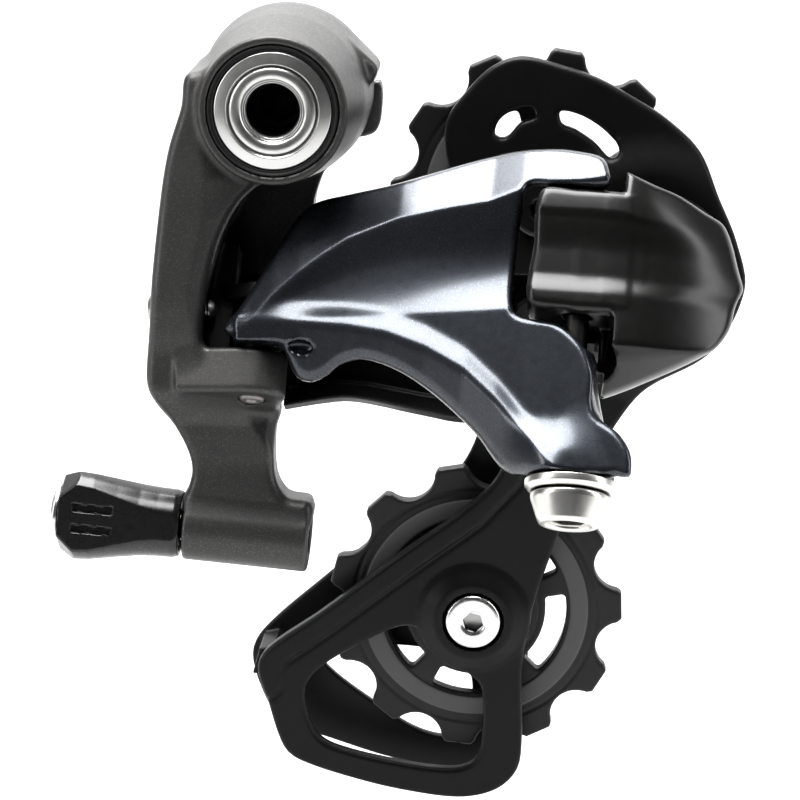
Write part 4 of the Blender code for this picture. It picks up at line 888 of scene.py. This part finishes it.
inner_plate_ = Plate(spline(INNER, sharp=(0, 1, 3, 9, 10, 11, 12, 15, 16, 17, 21)),
                     lambda a, h: inner_mid(a) - 1.6 + 1.7 * ramp(h, inner_edge(a), inner_edge(a) + 0.7) * (1 - ramp(h, 9.2, 9.9)) * ramp(a, -2.5, 0) * (1 - ramp(a, 31, 33)), lambda a, h: inner_mid(a) + 1.6, blur=2)
in_root = Plate(circle(A2, 4.3, 48), const(-2.75), const(11.75))
in_low = Plate(circle(B2, 4.0, 48), const(-4.75), const(-0.25))
in_high = Plate(circle(B2, 4.0, 48), const(8.25), const(11.55))


def inner_field(P):
    a, h, b = link(P)
    f = inner_plate_(a, h, b, 0.35, 0.5)
    f = rmin(f, in_root(a, b, h, 0.4, 0.4), 0.8)
    f = rmin(f, in_low(a, b, h, 0.4, 0.4), 0.4)
    f = rmin(f, in_high(a, b, h, 0.4, 0.4), 0.4)
    f = rcut(f, rod(P, from_link(A2[0], A2[1], 0), PIN, 2.1, -40, 30, 0), 0.15)
    return rcut(f, rod(P, from_link(B2[0], B2[1], 0), PIN, 2.05, -40, 30, 0), 0.15)


cast("inner_link", inner_field, BLACK_LINK)

CLAMP_METAL = metal_for("clamp_silver", from_link(42.8, -9.5, 0), PIN, (0.72, 0.71, 0.67), 0.3)
wc = from_link(42.8, -9.5, 0)
place(turned("cable_clamp_washer_fine", [(2.65, -24.35), (5.9, -24.35), (6.2, -24.2), (6.65, -23.7), (6.7, -22.75), (2.65, -22.7)], wc, PIN, 96, 0.12), "cable_clamp_washer", CLAMP_METAL)
cb = turned("cable_clamp_bolt_fine", [(0, -16.4), (2.0, -16.4), (2.4, -16.9), (2.4, -24.6), (5.55, -24.6), (5.75, -24.9), (5.7, -25.5), (4.5, -28.6), (4.15, -29.05), (3.3, -29.1), (3.0, -28.8), (2.9, -28.4), (0, -28.4)], wc, PIN, 96, 0.15)
socket(cb, wc, PIN, 4.6, -28.9, -25.9, 0.5)
place(cb, "cable_clamp_bolt", CLAMP_METAL)

# ================================================================ lower body
NOSE_R = [(44.5, 19.8), (47.5, 20.0), (47.7, 24.1), (51.9, 22.5), (55.6, 21.7), (59.6, 20.1), (62.7, 18.9), (65.1, 12.4), (66.2, 8.1), (64.9, 4.6), (64.1, 0.7), (61.6, -2.7), (50.6, -9.0), (45.4, -11.4), (46.6, -3.5), (46.6, 2.2), (44.5, 3)]
NOSE_L = [(35.6, 20.0), (41.1, 20.4), (50, 20.4), (50, 2.0), (46.0, 1.9), (40.4, 2.0), (34.9, 3.0), (35.0, 12)]


def nose_front(a, h):
    def bend(x, k=1.2):
        return 0.5 * (x + np.sqrt(x * x + k * k))
    b = -13.6 + 0.012 * np.maximum(0, a - 44) ** 2 + 0.010 * np.maximum(0, a - 50) ** 2
    b = b + 1.45 * bend(-3.0 - h + 0.02 * (a - 47), 0.4) + 0.35 * bend(h - (21 - 0.75 * bend(a - 50, 3.0)), 3.0)
    lip = 16.4 - 0.12 * np.maximum(0, a - 47)
    b = b - 0.45 * ramp(h, lip - 0.5, lip + 0.6) * (1 - ramp(a, 47, 56))
    b = b + 0.9 * ramp(h, 4.3, 7.6) * (1 - ramp(h, 11, 16.5)) * (1 - 0.6 * ramp(a, 50, 60))
    return b


nose_r = Plate(spline(NOSE_R, sharp=(1, 2, 13)), nose_front, const(9.0), blur=3)
nose_l = Plate(spline(NOSE_L, sharp=(2, 3)), nose_front, const(-3.0), blur=3)
HOUSING = [(-2, -15.4), (9.6, -15.4), (10.9, -13.8), (12.2, -7.0), (12.8, -3.0), (12.8, -1.7), (12.4, -1.3), (-2, -1.3)]
block1 = Plate(hull(circle(B1, 2.5, 40) + [(51, -11.5), (51, -3)]), const(2.0), const(20.4))
block2 = Plate(hull(circle(B2, 4.2, 40) + [(50, -3), (50, 9)]), const(0.1), const(7.9))
inner_wall = Plate([(45.3, -5), (51, -6), (51, 1), (45.3, 1)], const(-5.0), const(2.0))
t0, t1 = math.radians(224), math.radians(236.6)
STOP = [(56 + r * math.cos(t), -29 + r * math.sin(t)) for r, t in ((11, t0), (18.6, t0), (18.8, (t0 + t1) / 2), (18.6, t1), (11, t1))]


def lower_field(P):
    x, z, y = side(P)
    a, h, b = link(P)
    f = rmax(nose_r(a, h, b, 1.1, 0.8), nose_r(a, h - 0.30 * np.maximum(b + 11.5, 0), b, 1.1, 0.8), 0.3)
    f = rmin(f, nose_l(a, h, b, 1.3, 0.5), 0.3)
    f = rmin(f, poly_distance(np.hypot(x - 56, z + 29), y, HOUSING) - 0.4, 1.6)
    f = rmin(f, block1(a, b, h, 0.3, 0.3), 0.8)
    f = rmin(f, block2(a, b, h, 0.3, 0.3), 0.8)
    f = rmin(f, inner_wall(a, b, h, 0.3, 0.3), 0.6)
    f = rmin(f, slab(poly_distance(x, z, STOP), y, -5.5, -1.0, 0.3), 0.5)
    f = rcut(f, rod(P, PIVOT, YD, 9.8, -13.6, 30, 0), 0.3)
    f = rcut(f, rod(P, PIVOT, YD, 4.05, -21.5, 30, 0), 0.2)
    p1, p2 = from_link(B1[0], B1[1], 0), from_link(B2[0], B2[1], 0)
    f = rcut(f, rod(P, p1, PIN, 2.1, 0, 60, 0), 0.15)
    f = rcut(f, rod(P, p2, PIN, 2.1, -6, 9, 0), 0.15)
    f = rcut(f, rod(P, p1, PIN, 6.1, -22, 1.2, 0), 0.3)
    f = rcut(f, rod(P, p2, PIN, 4.7, -12, -0.3, 0), 0.3)
    return rcut(f, rod(P, p2, PIN, 4.7, 8.3, 16, 0), 0.3)


cast("cage_knuckle", lower_field, BLACK_GLOSS)

# ================================================================ cage
OUTER_PLATE = [(70.9, -32), (69.5, -24.5), (66.5, -17.4), (63.5, -10.5), (58.3, -5.5), (53.8, -2.6), (47.5, 0.8), (41.9, 2.7), (35.5, 4.1), (31, 2.5), (27.1, -1.3), (23.9, -6.2),
               (24.2, -13), (30, -24), (34.5, -38), (35.2, -52), (32.8, -62.9), (27.2, -69.1), (17.5, -76.4), (3.4, -87.5), (-5, -93.7), (-6.8, -97), (-5.3, -102.8), (-2.7, -111), (0, -113.4), (10.2, -116.7), (19.4, -118.6), (27.2, -119.2), (32.8, -117.6), (36.1, -114),
               (36.8, -108.7), (36.7, -96.6), (37.8, -88), (40.7, -78.1), (44.8, -67), (50.9, -55.2), (56, -48.5), (66, -42)]
WINDOW = [(19.3, -89.6), (16, -89.7), (7.2, -94.4), (2.7, -97.8), (0.9, -101), (1.3, -105), (3.2, -109.2), (7, -111.2), (16.4, -113.3), (25.5, -114.2), (28.9, -112.8), (30.1, -109.5), (30, -99.8), (27.3, -97), (23, -94)]
SLOT_A = [(31.5, -8.2), (32.2, -5.8), (34.2, -4.4), (37.3, -3.8), (37.9, -5.2), (35.5, -6.2), (33.2, -8.6)]
SLOT_B = [(41.7, -4.3), (45.5, -5.2), (49.2, -7.6), (50.9, -10.4), (49.6, -11.6), (47, -9.2), (44, -7.2), (41.9, -6.3)]
FLANGE = [(35.4, -50), (32.8, -62.9), (27.2, -69.1), (17.5, -76.4), (3.4, -87.5), (-5, -93.7), (-6.8, -97), (-6.4, -99)]


def line_distance(u, v, pts):
    best = np.full(len(u), 1e9)
    for s, e in zip(pts, pts[1:]):
        dx, dy = e[0] - s[0], e[1] - s[1]
        t = np.clip(((u - s[0]) * dx + (v - s[1]) * dy) / (dx * dx + dy * dy), 0, 1)
        best = np.minimum(best, np.hypot(u - s[0] - t * dx, v - s[1] - t * dy))
    return best


def cage_face(x, z):
    d = np.hypot(x - PIVOT[0], z - PIVOT[2])
    return 2.4 - 1.9 * (1 - ramp(d, 15, 22))


def cage_front(x, z):
    band = line_distance(x, z, FLANGE)
    return cage_face(x, z) - 0.35 * (1 - ramp(band, 3.3, 3.75)) + 0.25 * np.exp(-((band - 3.9) / 0.3) ** 2)


outer_plate = Plate(spline(OUTER_PLATE, 1.2), cage_front, lambda x, z: cage_face(x, z) + 2.4, holes=[spline(WINDOW, 1.2), spline(SLOT_A, 0.8), spline(SLOT_B, 0.8)], blur=1, step=0.25, pad=2.5)
BOSS = [(-1, 0.6), (6.2, 0.6), (6.5, 0.75), (9.1, 2.5), (9.1, 3.4), (-1, 3.4)]
sp = math.radians(243.5)
STOP_AT = PIVOT + 17.3 * np.array([math.cos(sp), 0, math.sin(sp)])


def outer_cage_field(P):
    x, z, y = side(P)
    f = outer_plate(x, z, y, 0.7, 0.5)
    f = rmin(f, poly_distance(np.hypot(x - TENSION[0], z - TENSION[2]), y, BOSS) - 0.05, 0.5)
    f = rcut(f, rod(P, TENSION, YD, 4.95, -5, 2.55, 0), 0.15)
    f = rcut(f, rod(P, TENSION, YD, 2.6, -5, 9, 0), 0.1)
    f = rcut(f, rod(P, GUIDE, YD, 4.95, -5, 2.2, 0), 0.15)
    f = rcut(f, rod(P, GUIDE, YD, 2.6, -5, 9, 0), 0.1)
    f = rcut(f, rod(P, PIVOT, YD, 4.05, -5, 9, 0), 0.1)
    return rcut(f, rod(P, STOP_AT, YD, 1.6, -5, 9, 0), 0.1)


cast("cage_outer_plate", outer_cage_field, BLACK_SATIN)

INNER_PLATE = [(38.8, -10.3), (45, -12.8), (48.2, -20), (46, -32), (45.5, -50), (43, -68), (39.4, -82), (37.6, -94), (36.8, -108), (34, -115.5), (27, -118.3), (16, -117.2), (4, -113.6), (-4, -110.6), (-6.9, -106.5), (-9, -98.8), (-7, -94.4),
               (3.3, -84.9), (14, -75.8), (25.5, -65.9), (29.6, -56), (30.6, -40), (29.6, -24), (31.5, -13.5)]
INNER_WINDOW = [(3.6, -100.6), (11.1, -106.6), (19, -111.6), (25, -112.4), (27.6, -108), (27.5, -101), (22, -97.5), (14, -96.6), (7, -96.8), (3.4, -98.4)]
inner_plate = Plate(spline(INNER_PLATE, 1.2), const(13.4), const(15.2), holes=[spline(INNER_WINDOW, 1.0)], step=0.25, pad=2.5)
BRIDGE = [(-8.0, -99.2), (-5.6, -99.2), (-4.2, -94.2), (-6.8, -94.8)]


def inner_cage_field(P):
    x, z, y = side(P)
    f = inner_plate(x, z, y, 0.4, 0.6)
    f = rmin(f, slab(poly_distance(x, z, BRIDGE), y, 5.1, 14.2, 0.3), 0.6)
    f = rmin(f, slab(np.hypot(x - TENSION[0], z - TENSION[2]) - 5.6, y, 13.6, 15.5, 0.35), 0.4)
    f = rcut(f, rod(P, TENSION, YD, 2.55, 5, 30, 0), 0.15)
    return rcut(f, rod(P, GUIDE, YD, 2.55, 5, 30, 0), 0.15)


cast("cage_inner_plate", inner_cage_field, BLACK_SATIN)


def pulley(name, c, turn):
    pitch_r = 12.7 / 0.9 / 2 / math.sin(math.pi / 11)
    out = []
    for k in range(11):
        mid = turn + 2 * math.pi * k / 11
        centre = (pitch_r * math.cos(mid), pitch_r * math.sin(mid))
        for j in np.linspace(-1, 1, 15):
            ang = mid + math.pi - math.pi * 0.36 * j
            out.append((centre[0] + 3.9 / 0.9 * math.cos(ang), centre[1] + 3.9 / 0.9 * math.sin(ang)))
        for s in (-1, 1):
            tip = mid + math.pi / 11 + s * 2.15 / 24.3
            out.append((24.2 * math.cos(tip), 24.2 * math.sin(tip)))
    out = [(c[0] + x, c[2] + z) for x, z in out]
    rim = Plate(out, const(PULLEY_Y - 1.25), const(PULLEY_Y + 1.25), step=0.2, pad=2)
    slots = [(turn + 2 * math.pi * k / 5 + math.pi / 5) for k in range(5)]

    def field(P):
        x, z, y = side(P)
        dx, dz = x - c[0], z - c[2]
        r = np.hypot(dx, dz)
        w = np.abs(y - PULLEY_Y)
        f = rim(x, z, y, 0.35, 0.35)
        f = rcut(f, np.maximum(np.abs(r - 20.0) - 0.25, 1.1 - w), 0.1)
        f = rmin(f, rmax(np.abs(r - 17.15) - 1.45, w - 1.4, 0.12), 0.15)
        ang = np.arctan2(dz, dx)
        for s in slots:
            da = np.abs((ang - s + math.pi) % (2 * math.pi) - math.pi)
            f = rcut(f, rmax(np.abs(r - 13.3) - 1.7, (da - (math.pi / 5 - 0.14)) * r, 0.7), 0.3)
        f = rmin(f, rmax(np.abs(r - 6.65) - 2.55, w - 2.5, 0.5), 0.5)
        f = rmin(f, rmax(np.abs(r - 9.6) - 0.5, w - 1.75, 0.2), 0.3)
        return rcut(f, r - 4.05, 0.2)
    return cast(name, field, pulley_material(name + "_plastic", c), 0.3)


pulley("guide_pulley", GUIDE, math.radians(97))
pulley("tension_pulley", TENSION, math.radians(18))
for which, c in (("guide", GUIDE), ("tension", TENSION)):
    m = metal_for(which + "_turned", c, YD, (0.6, 0.6, 0.59), 0.3)
    d = finish_material(which + "_cap_black", (0.03, 0.03, 0.03), 0.4, 0.6, grain=(0.2, 0.004), lathe=(tuple(c), (0, 1, 0)), mottle=0.08, wear_and_edge_highlight=0.4, wear_and_edge_highlight_tint=(0.2, 0.2, 0.2))
    place(turned(which + "_pulley_bush_fine", [(2.6, 5.0), (3.85, 5.0), (3.85, 13.1), (2.6, 13.1)], c, YD, 64, 0.15), which + "_pulley_bush", m)
    place(turned(which + "_pulley_cap_outer_fine", [(4.0, 5.1), (6.4, 5.1), (6.9, 5.35), (7.4, 5.55), (7.4, 6.15), (4.0, 6.15)], c, YD, 72, 0.12), which + "_pulley_cap_outer", d)
    place(turned(which + "_pulley_cap_inner_fine", [(4.0, 11.85), (7.4, 11.85), (7.4, 12.5), (6.9, 12.8), (6.4, 13.1), (4.0, 13.1)], c, YD, 72, 0.12), which + "_pulley_cap_inner", d)
BOLT_SILVER = metal_for("pulley_bolt_silver", TENSION, YD, (0.76, 0.76, 0.75), 0.26)
tb = turned("tension_pulley_bolt_fine", [(0, 0.45), (1.75, 0.45), (2.1, 0.2), (3.9, 0.2), (4.35, 0.4), (4.55, 0.8), (4.55, 2.3), (2.4, 2.3), (2.4, 15.0), (1.9, 15.4), (0, 15.4)], TENSION, YD, 80, 0.2)
socket(tb, TENSION, YD, 3.0, 0.1, 2.0, 0.5)
place(tb, "tension_pulley_bolt", BOLT_SILVER)
gb = turned("guide_pulley_bolt_fine", [(0, 0.6), (1.75, 0.6), (2.0, 0.45), (3.7, 0.35), (4.3, 0.5), (4.55, 0.9), (4.55, 1.9), (2.4, 1.9), (2.4, 15.0), (1.9, 15.4), (0, 15.4)], GUIDE, YD, 80, 0.2)
socket(gb, GUIDE, YD, 3.0, 0.3, 1.7, 0.4)
place(gb, "guide_pulley_bolt", metal_for("guide_bolt_black", GUIDE, YD, (0.05, 0.05, 0.05), 0.36, recess=1.0, reach=0.012))
AXLE = metal_for("axle_steel", PIVOT, YD, (0.5, 0.5, 0.49), 0.34)
place(turned("cage_axle_fine", [(0, -21.0), (3.4, -21.0), (3.9, -20.5), (3.9, 3.3), (6.4, 3.3), (6.4, 4.5), (2.2, 4.5), (2.0, 3.9), (0, 3.9)], PIVOT, YD, 72, 0.25), "cage_axle", AXLE)
place(turned("cage_seal_fine", [(10.4, -0.6), (11.8, -0.6), (11.8, 0.2), (10.4, 0.2)], PIVOT, YD, 80, 0.35), "cage_seal", RUBBER)
place(turned("cage_stop_pin_fine", [(0, -5.3), (1.0, -5.3), (1.45, -4.8), (1.45, 3.4), (0, 3.4)], STOP_AT, YD, 40, 0.2), "cage_stop_pin", AXLE)
clip = frame["nodes"]["hanger_bolt_clip"]
clip.data.materials.clear()
clip.data.materials.append(SPRING)


# ================================================================ stage, light and camera
def aim(o, target):
    o.rotation_euler = (Vector(target) - o.location).to_track_quat("-Z", "Y").to_euler()


low = cad_box[0].z - 0.03
bm = bmesh.new()
prof = [(-0.34, low), (0.35, low)] + [(0.35 + 0.45 * math.sin(t), low + 0.45 * (1 - math.cos(t))) for t in np.linspace(0.1, math.pi / 2, 16)] + [(0.8, low + 1.8)]
rows = [[bm.verts.new((sx * 1.8, yy, zz)) for yy, zz in prof] for sx in (-1, 1)]
for k in range(len(prof) - 1):
    bm.faces.new([rows[0][k], rows[1][k], rows[1][k + 1], rows[0][k + 1]])
floor = new_object("floor", bm, 60)
paper = bpy.data.materials.new("paper")
paper.use_nodes = True
paper.node_tree.nodes["Principled BSDF"].inputs["Base Color"].default_value = (0.86, 0.86, 0.86, 1)
paper.node_tree.nodes["Principled BSDF"].inputs["Roughness"].default_value = 0.9
floor.data.materials.append(paper)


def softbox(name, loc, target, size, power, colour=(1, 1, 1), size_y=None):
    d = bpy.data.lights.new(name, "AREA")
    d.shape = "RECTANGLE"
    d.size, d.size_y = size, size_y or size
    d.energy = power
    d.color = colour
    o = bpy.data.objects.new(name, d)
    o.location = loc
    o.visible_camera = False
    bpy.context.scene.collection.objects.link(o)
    aim(o, target)
    return o


mid = (0.02, -0.02, -0.045)
subject = bpy.data.collections.new("subject")
for o in bpy.context.scene.objects:
    if o.type == "MESH" and o is not floor:
        subject.objects.link(o)
ground = bpy.data.collections.new("ground")
ground.objects.link(floor)
for lamp in (softbox("top_softbox", (-0.05, 0.0, 0.46), mid, 0.52, 13.0, size_y=0.40),
             softbox("left_softbox", (-0.50, -0.26, 0.16), mid, 0.16, 1.5, size_y=0.5),
             softbox("right_strip", (0.50, -0.10, 0.14), mid, 0.10, 1.2, size_y=0.5),
             softbox("front_fill", (-0.25, -0.65, 0.0), mid, 0.7, 0.1)):
    lamp.light_linking.receiver_collection = subject
painted = bpy.data.collections.new("painted")
for o in subject.objects:
    if o.name in ("b_knuckle_fine", "outer_link_fine"):
        painted.objects.link(o)
softbox("rear_card", (-0.05, 0.60, 0.32), mid, 0.9, 1.6, size_y=0.45).light_linking.receiver_collection = painted
softbox("back_light", (0.05, 0.12, 0.9), (0.05, 0.2, -0.2), 1.4, 34.0).light_linking.receiver_collection = ground

world = bpy.data.worlds.new("studio")
bpy.context.scene.world = world
world.use_nodes = True
world.node_tree.nodes["Background"].inputs[0].default_value = (0.95, 0.97, 1.0, 1)
path = world.node_tree.nodes.new("ShaderNodeLightPath")
world.node_tree.links.new(math_node(world.node_tree, "ADD", math_node(world.node_tree, "MULTIPLY", path.outputs["Is Camera Ray"], 0.9), 0.035), world.node_tree.nodes["Background"].inputs[1])

cam_data = bpy.data.cameras.new("camera")
cam = bpy.data.objects.new("camera", cam_data)
bpy.context.scene.collection.objects.link(cam)
el, az = math.radians(15), math.radians(4)
look = Vector((-math.sin(az) * math.cos(el), math.cos(az) * math.cos(el), -math.sin(el)))
cam.location = metres((17.571, -10.0, -47.739)) - look * 0.405
cam.rotation_euler = look.to_track_quat("-Z", "Y").to_euler()
cam_data.sensor_width = 36.0
cam_data.lens = 130.23
cam_data.clip_start = 0.01
bpy.context.scene.camera = cam
bpy.context.scene.view_settings.view_transform = "Standard"
